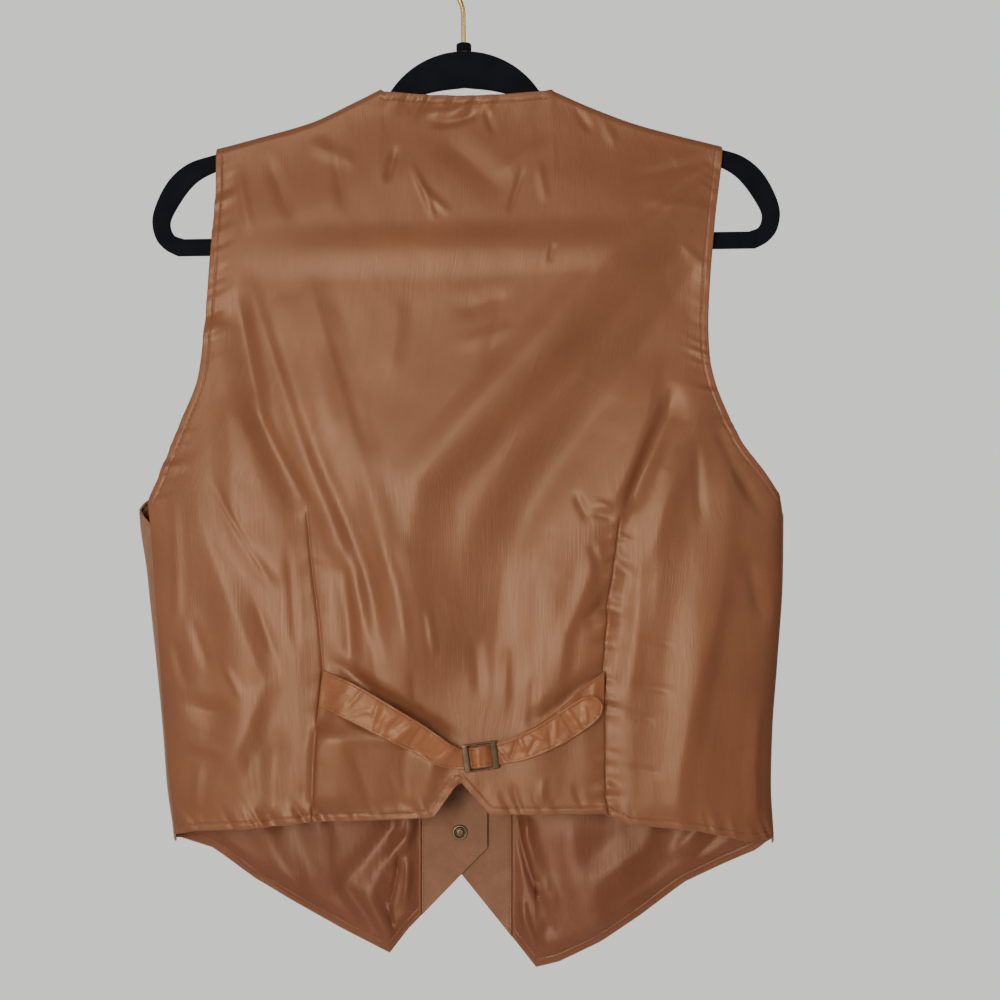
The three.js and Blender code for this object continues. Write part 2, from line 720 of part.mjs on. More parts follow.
// Hanger: a dome, two arms and a bar cut from one plate, with rounded edges
function addHanger() {
  const hanger = new THREE.Group();
  hanger.position.x = hangerShift;
  hanger.rotation.y = hangerTilt;
  vest.add(hanger);

  const domeEnd = Math.asin(domeHalf / domeRadius);
  const outline = [];
  for (let i = -6; i <= 6; i++) {
    const turn = (domeEnd * i) / 6;
    outline.push([domeRadius * Math.sin(turn), domeTop - domeRadius * (1 - Math.cos(turn))]);
  }
  const rounded = (points, count) => new THREE.CatmullRomCurve3(
    points.map(([x, z]) => new THREE.Vector3(x, z, 0)),
    false,
    'centripetal',
  ).getPoints(count).map((p) => [p.x, p.y]);
  const arm = rounded(armOutline, 26);
  const mirrored = (points) => points.map(([x, z]) => [-x, z]).reverse();
  const around = [...outline, ...arm, ...mirrored(arm)].reverse();
  const opening = rounded(armOpening, 22);
  const inside = [...opening, ...mirrored(opening.slice(1))];
  const shape = new THREE.Shape(around.map(([x, z]) => new THREE.Vector2(x, z)));
  shape.holes.push(new THREE.Path(inside.map(([x, z]) => new THREE.Vector2(x, z))));
  const plate = new THREE.ExtrudeGeometry(shape, {
    depth: hangerThick - 2 * hangerEdge,
    bevelEnabled: true,
    bevelThickness: hangerEdge,
    bevelSize: hangerEdge,
    bevelOffset: -hangerEdge,
    bevelSegments: 1,
  });
  plate.rotateX(Math.PI / 2);
  plate.translate(0, (hangerThick - 2 * hangerEdge) / 2, 0);
  addMesh('hanger', plate, velvetFinish, hanger);

  const bore = hookWire / 2 + seamGap;
  const rim = collarWide / 2;
  const foot = domeTop + seamGap;
  const profile = [[bore, foot], [rim, foot], [rim, collarTop - 0.8], [rim - 0.8, collarTop], [bore, collarTop], [bore, foot]];
  const collar = new THREE.LatheGeometry(profile.map(([x, y]) => new THREE.Vector2(x, y)), 20);
  collar.rotateX(Math.PI / 2);
  addMesh('hook_collar', collar, velvetFinish, hanger);

  const hook = new THREE.CurvePath();
  const loop = hookLoop + hookWire / 2;
  const middle = -hookLoop;
  hook.add(new THREE.LineCurve3(new THREE.Vector3(0, 0, stemFoot), new THREE.Vector3(0, 0, stemTop)));
  hook.add(new THREE.CubicBezierCurve3(
    new THREE.Vector3(0, 0, stemTop),
    new THREE.Vector3(0, 0, stemTop + hookBend),
    new THREE.Vector3(-loop, 0, middle - hookBend),
    new THREE.Vector3(-loop, 0, middle),
  ));
  hook.add(new LoopCurve(loop, middle, Math.PI, hookTip));
  const section = new THREE.Shape();
  section.absarc(0, 0, hookWire / 2, 0, 2 * Math.PI);
  const wire = new THREE.ExtrudeGeometry(section, { extrudePath: hook, steps: 40, curveSegments: 4 });
  addMesh('hook', wire, goldFinish, hanger);
}

// Round part of the hook, from one angle to another in the XZ plane
class LoopCurve extends THREE.Curve {
  constructor(radius, middle, from, to) {
    super();
    Object.assign(this, { radius, middle, from, to });
  }

  getPoint(t, target = new THREE.Vector3()) {
    const angle = this.from + (this.to - this.from) * t;
    return target.set(this.radius * Math.cos(angle), 0, this.middle + this.radius * Math.sin(angle));
  }
}

const back = addBack();
const left = addFront('left', leftPanel, pointLeft);
const right = addFront('right', rightPanel, pointRight);
addStrap('belt_long', longStrap, back.outer);
addStrap('belt_short', shortStrap, back.outer);
addBuckle(back.outer);
addSnaps(right.front.outer, left.facing.inner);
addHanger();

export default vest;
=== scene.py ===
# A western vest seen from its back on a slim velvet hanger: satin back, suede fronts and a cinch belt.
# The solids come in as the frame. Tables are in millimetres and meshes in metres, with +Z up and -Y
# towards whoever looks at the back.
import math

import bpy
import numpy as np
from mathutils import Matrix, Vector
from mathutils.bvhtree import BVHTree
from mathutils.kdtree import KDTree

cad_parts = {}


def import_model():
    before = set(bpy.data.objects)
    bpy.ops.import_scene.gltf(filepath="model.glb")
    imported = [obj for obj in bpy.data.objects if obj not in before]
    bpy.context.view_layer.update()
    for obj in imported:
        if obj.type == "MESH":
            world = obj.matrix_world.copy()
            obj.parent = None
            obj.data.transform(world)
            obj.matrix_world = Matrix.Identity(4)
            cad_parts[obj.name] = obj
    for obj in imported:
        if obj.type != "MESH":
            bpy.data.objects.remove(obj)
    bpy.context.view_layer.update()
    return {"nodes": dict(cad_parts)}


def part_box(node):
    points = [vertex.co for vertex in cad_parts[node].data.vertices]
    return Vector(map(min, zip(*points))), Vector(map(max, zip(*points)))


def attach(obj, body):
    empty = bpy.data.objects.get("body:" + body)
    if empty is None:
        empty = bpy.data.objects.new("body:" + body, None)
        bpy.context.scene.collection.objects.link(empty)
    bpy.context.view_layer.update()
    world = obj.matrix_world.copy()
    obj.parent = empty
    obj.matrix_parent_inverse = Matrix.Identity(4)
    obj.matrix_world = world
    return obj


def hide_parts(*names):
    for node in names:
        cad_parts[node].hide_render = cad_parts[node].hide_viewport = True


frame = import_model()
mm = 0.001
print("frame loaded:", len(frame["nodes"]), "nodes")


# The photograph's camera looks level along +Y at the middle of the vest
camera = {"x": 25.5, "z": -406.4, "distance": 1250, "seenAcross": 708.6, "sensor": 36}


def addCamera():
    data = bpy.data.cameras.new("vest_camera")
    data.sensor_width = camera["sensor"]
    data.lens = camera["sensor"] * camera["distance"] / camera["seenAcross"]
    data.dof.use_dof = False
    seen = bpy.data.objects.new("vest_camera", data)
    seen.location = (camera["x"] * mm, -camera["distance"] * mm, camera["z"] * mm)
    seen.rotation_euler = (math.pi / 2, 0, 0)
    bpy.context.scene.collection.objects.link(seen)
    bpy.context.scene.camera = seen


addCamera()


# Nodes, for the room and the materials


def feed(tree, node, links):
    # links gives the value or the socket that feeds each named or numbered input
    for key, value in links.items():
        if isinstance(value, bpy.types.NodeSocket):
            tree.links.new(value, node.inputs[key])
        else:
            node.inputs[key].default_value = value


def addNode(tree, kind, links=None, **settings):
    node = tree.nodes.new(kind)
    for name, value in settings.items():
        setattr(node, name, value)
    feed(tree, node, links or {})
    return node


def newMaterial(name):
    material = bpy.data.materials.new(name)
    material.use_nodes = True
    return material, material.node_tree, material.node_tree.nodes["Principled BSDF"]


# Studio: a window light in front at the left, weak ones at the sides and above, one behind for the fronts
lamps = {
    "window": {"at": (-0.53, -2.05, -0.36), "size": (0.42, 0.8), "power": 36, "color": (1.0, 0.98, 0.95)},
    "side": {"at": (-2.0, -1.0, -0.2), "size": (1.1, 1.7), "power": 3, "color": (1.0, 0.98, 0.95)},
    "fill": {"at": (1.7, -1.5, 0.1), "size": (1.2, 1.6), "power": 10, "color": (0.93, 0.96, 1.0)},
    "top": {"at": (0.1, -0.5, 1.3), "size": (1.6, 1.2), "power": 3, "color": (1.0, 0.98, 0.96)},
    "behind": {"at": (0.9, 1.8, 0.4), "size": (1.6, 1.8), "power": 26, "color": (1.0, 0.98, 0.95)},
}
studio = {
    "aim": (0.0, 0.0, -0.42),
    "wall": (0.90, 0.91, 0.885, 1),  # what the camera sees round the vest
    "bright": 0.55,  # how bright the room is on the window's side and on the other
    "dark": 0.07,
    "fallFrom": -0.75,  # where across the room its light starts to fall off, and where it is down
    "fallTo": 0.6,
    "floor": -1.7,
    "floorSize": 6.4,
    "floorColor": (0.86, 0.85, 0.82, 1),
    "floorRough": 0.9,
}


def addLamp(name, lamp):
    data = bpy.data.lights.new(name + "_light", "AREA")
    data.shape = "RECTANGLE"
    data.size, data.size_y = lamp["size"]
    data.energy = lamp["power"]
    data.color = lamp["color"]
    light = bpy.data.objects.new(name + "_light", data)
    light.location = lamp["at"]
    aim = Vector(studio["aim"]) - Vector(lamp["at"])
    light.rotation_euler = aim.to_track_quat("-Z", "Y").to_euler()
    bpy.context.scene.collection.objects.link(light)


def addRoom():
    # The camera sees an even wall, while the room that lights the vest is brighter at the left
    world = bpy.data.worlds.new("pale_room")
    world.use_nodes = True
    tree = world.node_tree
    seen = tree.nodes["Background"]
    feed(tree, seen, {"Color": studio["wall"]})
    way = addNode(tree, "ShaderNodeTexCoord")
    sides = addNode(tree, "ShaderNodeSeparateXYZ", {0: way.outputs["Generated"]})
    room = addNode(tree, "ShaderNodeMapRange", interpolation_type="SMOOTHSTEP")
    feed(tree, room, {0: sides.outputs["X"], 1: studio["fallFrom"], 2: studio["fallTo"],
                      3: studio["bright"], 4: studio["dark"]})
    lit = addNode(tree, "ShaderNodeBackground", {"Color": studio["wall"], "Strength": room.outputs[0]})
    path = addNode(tree, "ShaderNodeLightPath")
    mix = addNode(tree, "ShaderNodeMixShader",
                  {"Fac": path.outputs["Is Camera Ray"], 1: lit.outputs[0], 2: seen.outputs[0]})
    feed(tree, tree.nodes["World Output"], {"Surface": mix.outputs[0]})
    bpy.context.scene.world = world


def addFloor():
    bpy.ops.mesh.primitive_plane_add(size=studio["floorSize"], location=(0, 0, studio["floor"]))
    floor = bpy.context.object
    floor.name = "floor"
    paint, tree, shader = newMaterial("pale_floor")
    feed(tree, shader, {"Base Color": studio["floorColor"], "Roughness": studio["floorRough"]})
    floor.data.materials.append(paint)


for lampName, lampLook in lamps.items():
    addLamp(lampName, lampLook)
addRoom()
addFloor()
print("studio lit")


# Shader groups, each built once and placed in several materials


def newGroup(name, inputs, outputs):
    group = bpy.data.node_groups.new(name, "ShaderNodeTree")
    for label, kind, value in inputs:
        socket = group.interface.new_socket(name=label, in_out="INPUT", socket_type=kind)
        socket.default_value = value
    for label, kind in outputs:
        group.interface.new_socket(name=label, in_out="OUTPUT", socket_type=kind)
    return group, group.nodes.new("NodeGroupInput").outputs, group.nodes.new("NodeGroupOutput")


def placeGroup(tree, group, links):
    return addNode(tree, "ShaderNodeGroup", links, node_tree=group)


def makeWeave():
    # Fine crossed threads with uneven slubs; the place comes in metres along the cloth
    group, entry, leave = newGroup(
        "thread_weave",
        [
            ("Place", "NodeSocketVector", (0, 0, 0)),
            ("Threads", "NodeSocketFloat", 2600.0),
            ("Slub Length", "NodeSocketFloat", 26.0),
            ("Slub Width", "NodeSocketFloat", 900.0),
        ],
        [("Height", "NodeSocketFloat"), ("Slubs", "NodeSocketFloat")],
    )
    place = entry["Place"]
    threads = [addNode(group, "ShaderNodeTexWave", {"Vector": place, "Scale": entry["Threads"]},
                       wave_type="BANDS", bands_direction=way).outputs["Fac"] for way in "XY"]
    apart = addNode(group, "ShaderNodeSeparateXYZ", {0: place})
    pairs = (threads, (apart.outputs["X"], entry["Slub Width"]), (apart.outputs["Y"], entry["Slub Length"]))
    crossed, across, down = (
        addNode(group, "ShaderNodeMath", {0: one, 1: other}, operation="MULTIPLY").outputs[0]
        for one, other in pairs
    )
    drawn = addNode(group, "ShaderNodeCombineXYZ", {0: across, 1: down})
    slubs = addNode(group, "ShaderNodeTexNoise", {"Vector": drawn.outputs[0], "Scale": 1.0, "Detail": 3.0})
    feed(group, leave, {"Height": crossed, "Slubs": slubs.outputs["Fac"]})
    return group


def makeMottle():
    # Clouds of two tones over a finer speckle, for nap, dye and tarnish
    group, entry, leave = newGroup(
        "mottle",
        [
            ("Place", "NodeSocketVector", (0, 0, 0)),
            ("Clouds", "NodeSocketFloat", 60.0),
            ("Speckle", "NodeSocketFloat", 900.0),
            ("Share", "NodeSocketFloat", 0.5),
            ("Dark", "NodeSocketColor", (0.1, 0.05, 0.03, 1)),
            ("Light", "NodeSocketColor", (0.3, 0.2, 0.1, 1)),
        ],
        [("Color", "NodeSocketColor"), ("Tone", "NodeSocketFloat"), ("Grain", "NodeSocketFloat")],
    )
    clouds, speckle = (
        addNode(group, "ShaderNodeTexNoise", {"Vector": entry["Place"], "Scale": entry[size],
                                              "Detail": detail, "Roughness": rough}).outputs["Fac"]
        for size, detail, rough in (("Clouds", 4.0, 0.6), ("Speckle", 3.0, 0.65))
    )
    both = addNode(group, "ShaderNodeMix", {"Factor": entry["Share"], 2: clouds, 3: speckle})
    tone = addNode(group, "ShaderNodeMapRange", {0: both.outputs[0], 1: 0.32, 2: 0.68, 3: 0.0, 4: 1.0})
    color = addNode(group, "ShaderNodeMix", data_type="RGBA")
    feed(group, color, {"Factor": tone.outputs[0], 6: entry["Dark"], 7: entry["Light"]})
    feed(group, leave, {"Color": color.outputs[2], "Tone": tone.outputs[0], "Grain": speckle})
    return group


def makeEdgeWear():
    # Rubbed edges: 1 on convex edges, 0 elsewhere
    group, entry, leave = newGroup(
        "edge_wear",
        [("From", "NodeSocketFloat", 0.51), ("To", "NodeSocketFloat", 0.58)],
        [("Wear", "NodeSocketFloat")],
    )
    shape = addNode(group, "ShaderNodeNewGeometry")
    wear = addNode(group, "ShaderNodeMapRange",
                   {0: shape.outputs["Pointiness"], 1: entry["From"], 2: entry["To"]})
    feed(group, leave, {"Wear": wear.outputs[0]})
    return group


weave = makeWeave()
mottle = makeMottle()
edgeWear = makeEdgeWear()


# Looks of the materials, with linear colours
satins = {
    "back_satin": {"dark": (0.146, 0.046, 0.020, 1), "light": (0.184, 0.061, 0.026, 1),
                   "rough": 0.46, "crumple": 0.1, "shine": 0.80},
    "lining_satin": {"dark": (0.124, 0.039, 0.019, 1), "light": (0.162, 0.056, 0.029, 1),
                     "rough": 0.42, "crumple": 0.1, "shine": 0.46},
    # The belt is the back's satin with a lighter base colour: painted light, for straps that face the window
    # lamp
    "belt_satin_painted_lighter": {"dark": (0.176, 0.056, 0.021, 1), "light": (0.268, 0.093, 0.036, 1),
                   "rough": 0.42, "crumple": 0.2, "shine": 0.62},
}
satinCloth = {
    "dye": {"Clouds": 14.0, "Speckle": 420.0, "Share": 0.25}, "smoother": 0.05, "rougher": 0.07,
    "threads": {"Strength": 0.12, "Distance": 0.00008}, "slubs": {"Strength": 0.4, "Distance": 0.0003},
    "slubRange": {1: 0.2, 2: 0.8}, "creases": {"Scale": (60, 24, 1), "Rotation": (0, 0, 0.2)},
    "crumple": {"Scale": 1.0, "Detail": 2.0, "Distortion": 0.6}, "creaseDeep": 0.0035,
    "sheen": {"Specular Tint": (1.0, 0.67, 0.43, 1), "Sheen Weight": 0.10, "Sheen Roughness": 0.35,
              "Sheen Tint": (1.0, 0.78, 0.6, 1)},
}
naps = {
    "suede": {
        "nap": {"Clouds": 75.0, "Speckle": 1300.0, "Share": 0.45, "Dark": (0.172, 0.077, 0.042, 1),
                "Light": (0.248, 0.117, 0.066, 1)},
        "bump": {"Strength": 0.55, "Distance": 0.0004},
        "shader": {"Roughness": 0.93, "Specular IOR Level": 0.2, "Sheen Weight": 0.22,
                   "Sheen Roughness": 0.55, "Sheen Tint": (1.0, 0.82, 0.66, 1)},
    },
    "velvet": {
        "nap": {"Clouds": 55.0, "Speckle": 2200.0, "Share": 0.6, "Dark": (0.0035, 0.0036, 0.0048, 1),
                "Light": (0.0095, 0.010, 0.013, 1)},
        "bump": {"Strength": 0.5, "Distance": 0.0003},
        "shader": {"Roughness": 1.0, "Specular IOR Level": 0.08, "Sheen Weight": 0.05,
                   "Sheen Roughness": 0.4},
    },
}
metals = {
    "gold_wire": {"dark": (0.60, 0.36, 0.10, 1), "light": (0.78, 0.52, 0.18, 1),
                  "worn": (0.90, 0.66, 0.28, 1), "rough": 0.24},
    "antique_brass": {"dark": (0.034, 0.022, 0.014, 1), "light": (0.082, 0.055, 0.033, 1),
                      "worn": (0.27, 0.20, 0.12, 1), "rough": 0.38},
}
metalTarnish = {"Clouds": 260.0, "Speckle": 1800.0, "Share": 0.35}
metalDull = 0.12  # how much rougher a metal is where it is tarnished
metalBump = {"Strength": 0.15, "Distance": 0.0001}
sewingThread = {"Clouds": 160.0, "Speckle": 2600.0, "Share": 0.5, "Dark": (0.120, 0.040, 0.019, 1),
                "Light": (0.200, 0.072, 0.036, 1)}


def satinMaterial(name):
    look = satins[name]
    material, tree, shader = newMaterial(name)
    place = addNode(tree, "ShaderNodeTexCoord").outputs["UV"]
    woven = placeGroup(tree, weave, {"Place": place})
    dyed = placeGroup(tree, mottle, {"Place": place, "Dark": look["dark"], "Light": look["light"],
                                     **satinCloth["dye"]})
    rough = addNode(tree, "ShaderNodeMapRange", {0: woven.outputs["Slubs"], **satinCloth["slubRange"],
                                                 3: look["rough"] - satinCloth["smoother"],
                                                 4: look["rough"] + satinCloth["rougher"]})
    threads = addNode(tree, "ShaderNodeBump", {"Height": woven.outputs["Height"], **satinCloth["threads"]})
    slubs = addNode(tree, "ShaderNodeBump", {"Height": woven.outputs["Slubs"], "Normal": threads.outputs[0],
                                             **satinCloth["slubs"]})
    creased = addNode(tree, "ShaderNodeMapping", {"Vector": place, **satinCloth["creases"]})
    crumple = addNode(tree, "ShaderNodeTexNoise", {"Vector": creased.outputs[0], **satinCloth["crumple"]})
    soft = addNode(tree, "ShaderNodeBump", {"Height": crumple.outputs["Fac"], "Strength": look["crumple"],
                                            "Distance": satinCloth["creaseDeep"], "Normal": slubs.outputs[0]})
    feed(tree, shader, {"Base Color": dyed.outputs["Color"], "Roughness": rough.outputs[0],
                        "Normal": soft.outputs[0], "Specular IOR Level": look["shine"]})
    feed(tree, shader, satinCloth["sheen"])
    return material


def nappedMaterial(name):
    look = naps[name]
    material, tree, shader = newMaterial(name)
    place = addNode(tree, "ShaderNodeTexCoord").outputs["Object"]
    nap = placeGroup(tree, mottle, {"Place": place, **look["nap"]})
    bump = addNode(tree, "ShaderNodeBump", {"Height": nap.outputs["Grain"], **look["bump"]})
    feed(tree, shader, {"Base Color": nap.outputs["Color"], "Normal": bump.outputs[0], **look["shader"]})
    return material


def metalMaterial(name):
    look = metals[name]
    material, tree, shader = newMaterial(name)
    place = addNode(tree, "ShaderNodeTexCoord").outputs["Object"]
    tarnish = placeGroup(tree, mottle, {"Place": place, "Dark": look["dark"], "Light": look["light"],
                                        **metalTarnish})
    rubbed = placeGroup(tree, edgeWear, {})
    color = addNode(tree, "ShaderNodeMix", data_type="RGBA")
    feed(tree, color, {"Factor": rubbed.outputs["Wear"], 6: tarnish.outputs["Color"], 7: look["worn"]})
    dull = addNode(tree, "ShaderNodeMapRange",
                   {0: tarnish.outputs["Tone"], 3: look["rough"] + metalDull, 4: look["rough"]})
    bump = addNode(tree, "ShaderNodeBump", {"Height": tarnish.outputs["Grain"], **metalBump})
    feed(tree, shader, {"Base Color": color.outputs[2], "Roughness": dull.outputs[0],
                        "Normal": bump.outputs[0], "Metallic": 1.0})
    return material


def threadMaterial():
    material, tree, shader = newMaterial("sewing_thread")
    place = addNode(tree, "ShaderNodeTexCoord").outputs["Object"]
    spun = placeGroup(tree, mottle, {"Place": place, **sewingThread})
    feed(tree, shader, {"Base Color": spun.outputs["Color"], "Roughness": 0.6})
    return material


backSatin, liningSatin, beltSatinPaintedLighter = (satinMaterial(name) for name in satins)
suedeNap, velvet = (nappedMaterial(name) for name in naps)
gold, bronze = (metalMaterial(name) for name in metals)
thread = threadMaterial()
print("materials made")


# Reading of tables: each is a dictionary of named columns


def ease(t):
    t = np.clip(t, 0, 1)
    return t * t * (3 - 2 * t)


def lineAt(table, by, at, want):
    order = np.argsort(table[by])
    return np.interp(at, np.array(table[by], float)[order], np.array(table[want], float)[order])


def smoothAt(table, by, at, want):
    # Smooth curve through the rows that does not overshoot them
    order = np.argsort(table[by])
    knots = np.array(table[by], float)[order]
    values = np.array(table[want], float)[order]
    slope = np.diff(values) / np.diff(knots)
    both = slope[:-1] * slope[1:]
    total = np.where(both > 0, slope[:-1] + slope[1:], 1)
    middle = np.where(both > 0, 2 * both / total, 0)
    tangent = np.concatenate([slope[:1], middle, slope[-1:]])
    at = np.clip(at, knots[0], knots[-1])
    i = np.clip(np.searchsorted(knots, at), 1, len(knots) - 1)
    span = knots[i] - knots[i - 1]
    t = (at - knots[i - 1]) / span
    before = values[i - 1] * (1 + 2 * t) * (1 - t) ** 2 + tangent[i - 1] * span * t * (1 - t) ** 2
    after = values[i] * t * t * (3 - 2 * t) + tangent[i] * span * t * t * (t - 1)
    return before + after


# Smooth noise from -1 to 1 along a line and over a face, the same in each run
lineMarks = 512
faceMarks = 64


def wander(at, step, seed):
    marks = np.random.RandomState(seed).uniform(-1, 1, lineMarks)
    place = np.asarray(at) / step
    i = np.floor(place).astype(int)
    t = ease(place - i)
    return marks[i % lineMarks] * (1 - t) + marks[(i + 1) % lineMarks] * t


def ripple(x, z, step, seed):
    marks = np.random.RandomState(seed).uniform(-1, 1, (faceMarks, faceMarks))
    i, k = np.floor(x / step).astype(int), np.floor(z / step).astype(int)
    s, t = ease(x / step - i), ease(z / step - k)
    near, far = (
        marks[i % faceMarks, row % faceMarks] * (1 - s) + marks[(i + 1) % faceMarks, row % faceMarks] * s
        for row in (k, k + 1)
    )
    return near * (1 - t) + far * t


def ripples(x, z, rows, seed=0):
    # Each row is a rise, a slant, a step and a seed that is added to the given one
    return sum(rise * ripple(x + slant * z, z, step, seed + own) for rise, slant, step, own in rows)


# Form of the vest, the same sections and edges as its solids have
squareness = 3
body = {
    "z": [-110, -160, -230, -300, -360, -412, -459, -521, -569, -607, -645, -745],
    "left": [-191, -192, -196, -203, -216, -229.6, -223.9, -217.2, -212.6, -209.7, -204.8, -199],
    "right": [195, 196, 198, 204, 216, 226, 225.5, 221.5, 218, 217, 219, 221],
    "back": [9, 10, 14, 20, 26, 30, 33, 35, 35.5, 36, 36, 34],
    "front": [10, 10, 12, 15, 18, 20, 22, 22, 21, 19, 17, 15],
}
backLeft = {
    "z": [-110, -181, -235, -294, -319, -355, -392, -409, -426, -485, -521, -548, -645, -745],
    "x": [-175.5, -175, -178.7, -183, -186, -199.8, -214.7, -221.3, -219.5, -215.3, -213.2, -211.8,
          -203, -197],
}
backRight = {
    "z": [-110, -157, -209, -256, -285, -304, -323, -364, -392, -407, -419, -459, -521, -569, -607,
          -645, -745],
    "x": [183.5, 182.7, 177, 173.1, 171.7, 172.3, 176, 194, 214.8, 223.2, 224.7, 224.2, 220.2, 216.7,
          215.7, 217.7, 219.7],
}
frontLeft = {
    "z": [-110, -200, -250, -300, -340, -370, -400],
    "x": [-171, -165, -163, -168, -183, -199, -217],
}
frontRight = {
    "z": [-110, -200, -250, -290, -330, -370, -400],
    "x": [177, 166, 160, 159, 168, 190, 212],
}
shoulderLeft = {
    "x": [-192, -176.4, -144.2, -108.1, -77.9, -58.8],
    "z": [-161.5, -158.2, -149.7, -139.2, -125.1, -115.5],
}
shoulderRight = {
    "x": [62.6, 88.3, 120.5, 145.3, 183.2, 196],
    "z": [-116.4, -127.8, -139.9, -146.8, -156.2, -159.5],
}
neckline = {
    "x": [-58.8, -55.6, -24, 0, 25.5, 57.2, 62.6],
    "z": [-115.5, -118, -120.4, -121.1, -120.1, -117.6, -116.4],
}
backHem = {
    "x": [-210, -201, -187, -147, -103, -37, -20, -2.3, 18.5, 97, 113, 160, 185, 197, 222],
    "z": [-643, -640.5, -636.6, -633.7, -628.6, -626.3, -625, -599.7, -623.3, -622.8, -630, -635,
          -640.5, -644, -643.5],
}
leftHem = {
    "x": [-210, -197, -179, -150, -122, -90, -53.6, -40, 16.5],
    "z": [-643, -648.5, -655, -677, -694, -712, -731, -713.5, -655.5],
}
rightHem = {
    "x": [-17, 51.5, 67.5, 98, 126.5, 157.4, 184, 209, 222],
    "z": [-657, -741.6, -737.4, -722.7, -703.5, -680, -667, -655.5, -643.5],
}
fit = {
    "backRoll": 5.5, "frontRoll": 6.4, "easeDepth": 60, "seamGap": 0.3, "seamLap": 0.3,
    "lapStandOff": 3.9, "lapFrom": 25, "lapTo": 80,
    "neckLeft": -58.8, "neckRight": 62.6, "neckTurn": 4.2, "neckFoot": -385, "neckHollow": 5,
    "leftEdge": 16.5, "rightEdge": -17, "leftPoint": -53.6, "rightPoint": 51.5,
    "leftFacing": 47, "rightFacing": 51, "turnedSide": 4,
    "armholeFoot": -398, "seamHead": -424, "foldDepth": 8, "calmFrom": 2, "calmReach": 18,
    "notchFrom": -20, "notchTop": -2.3, "notchTo": 18.5,
}
lapSearch = {"reach": 0.03, "rounds": 14}
thick = {"satin": 1.2, "suede": 1.5, "lining": 0.9, "facing": 1.2, "strap": 1.1}

# Largest folds, as in the solids
foldColumns = ("x1", "z1", "x2", "z2", "half", "rise")
backFolds = [
    (-110, -400, -98, -545, 19, -3.0),
    (-97, -500, -104, -660, 18, -2.2),
    (110, -404, 98, -545, 19, -3.0),
    (97, -500, 103, -660, 18, -2.2),
    (-175, -234, 172, -227, 22, 2.6),
    (118, -235, -40, -408, 27, 3.6),
    (92, -325, -4, -480, 29, -3.0),
    (-122, -262, -58, -450, 21, 3.4),
    (-94, -290, -52, -530, 19, -2.4),
    (-142, -345, -108, -436, 19, -3.0),
    (152, -350, 118, -460, 20, 3.0),
    (134, -385, 104, -530, 19, -2.4),
    (-160, -430, -150, -655, 24, 3.0),
    (165, -430, 158, -665, 25, 2.8),
    (-40, -430, -52, -640, 23, 2.4),
    (60, -430, 48, -640, 23, 2.2),
]
frontFolds = [
    (-118, -180, -88, -420, 22, 3.0),
    (-150, -420, -132, -690, 24, 2.6),
    (-70, -330, -78, -720, 22, -2.2),
    (122, -180, 92, -430, 22, 2.8),
    (152, -430, 138, -690, 24, 2.6),
    (84, -340, 86, -725, 22, -2.2),
]


def besideRun(x, z, run):
    # Share of each point's place along a straight run, and its distance from it, below 0 at one side
    runX, runZ = run["x2"] - run["x1"], run["z2"] - run["z1"]
    length = math.hypot(runX, runZ)
    along = np.clip(((x - run["x1"]) * runX + (z - run["z1"]) * runZ) / length ** 2, 0, 1)
    return along, ((z - run["z1"]) * runX - (x - run["x1"]) * runZ) / length


def foldRise(folds, x, z):
    rise = np.zeros_like(x)
    for row in folds:
        fold = dict(zip(foldColumns, row))
        along, off = besideRun(x, z, fold)
        across = np.cos(np.clip(np.abs(off) / fold["half"], 0, 1) * math.pi / 2) ** 2
        rise += fold["rise"] * across * np.sin(math.pi * along) ** 0.8
    return rise


def sectionAt(z):
    left, right, back, front = (smoothAt(body, "z", z, side) for side in ("left", "right", "back", "front"))
    return (left + right) / 2, (right - left) / 2, back, front


def ringPoint(section, angle):
    # Angle 0 is the middle of the fronts, a quarter turn the wearer's right side, half a turn the back
    middle, half, back, front = section
    across, along = np.sin(angle), np.cos(angle)
    depth = np.where(along > 0, front, back) * np.sign(along)
    return middle + half * across, depth * (1 - np.abs(across) ** squareness) ** (1 / squareness)


def angleAt(z, x, onBack):
    middle, half, back, front = sectionAt(z)
    angle = np.arcsin(np.clip((x - middle) / half, -1, 1))
    return math.pi - angle if onBack else angle


def topLine(x):
    left = smoothAt(shoulderLeft, "x", x, "z")
    right = smoothAt(shoulderRight, "x", x, "z")
    between = lineAt(neckline, "x", x, "z")
    return np.where(x <= fit["neckLeft"], left, np.where(x >= fit["neckRight"], right, between))


def frontNeck(z, neckPoint, edge):
    head = topLine(np.array(neckPoint))
    down = np.clip((head - z) / (head - fit["neckFoot"]), 0, 1)
    hollow = fit["neckHollow"] * np.sin(math.pi * down) * math.copysign(1, neckPoint)
    return neckPoint + (edge - neckPoint) * down + hollow


def backEdge(table):
    return lambda z: angleAt(z, smoothAt(table, "z", z, "x"), True)


def lapAngle(z, seam, side):
    # The angle at which a front reaches a little past the back's edge, so that the seam is closed
    section = sectionAt(z)
    x, y = ringPoint(section, seam)
    low, high = np.zeros_like(z), np.full_like(z, lapSearch["reach"])
    for _ in range(lapSearch["rounds"]):
        middle = (low + high) / 2
        lapX, lapY = ringPoint(section, seam - side * middle)
        short = np.hypot(lapX - x, lapY - y) < fit["seamLap"]
        low, high = np.where(short, middle, low), np.where(short, high, middle)
    return seam - side * low


def frontEdge(table, seam, side):
    def edge(z):
        armhole = angleAt(z, smoothAt(table, "z", z, "x"), False)
        turn = ease((fit["armholeFoot"] - z) / (fit["armholeFoot"] - fit["seamHead"]))
        return armhole + (lapAngle(z, seam(z), side) - armhole) * turn
    return edge


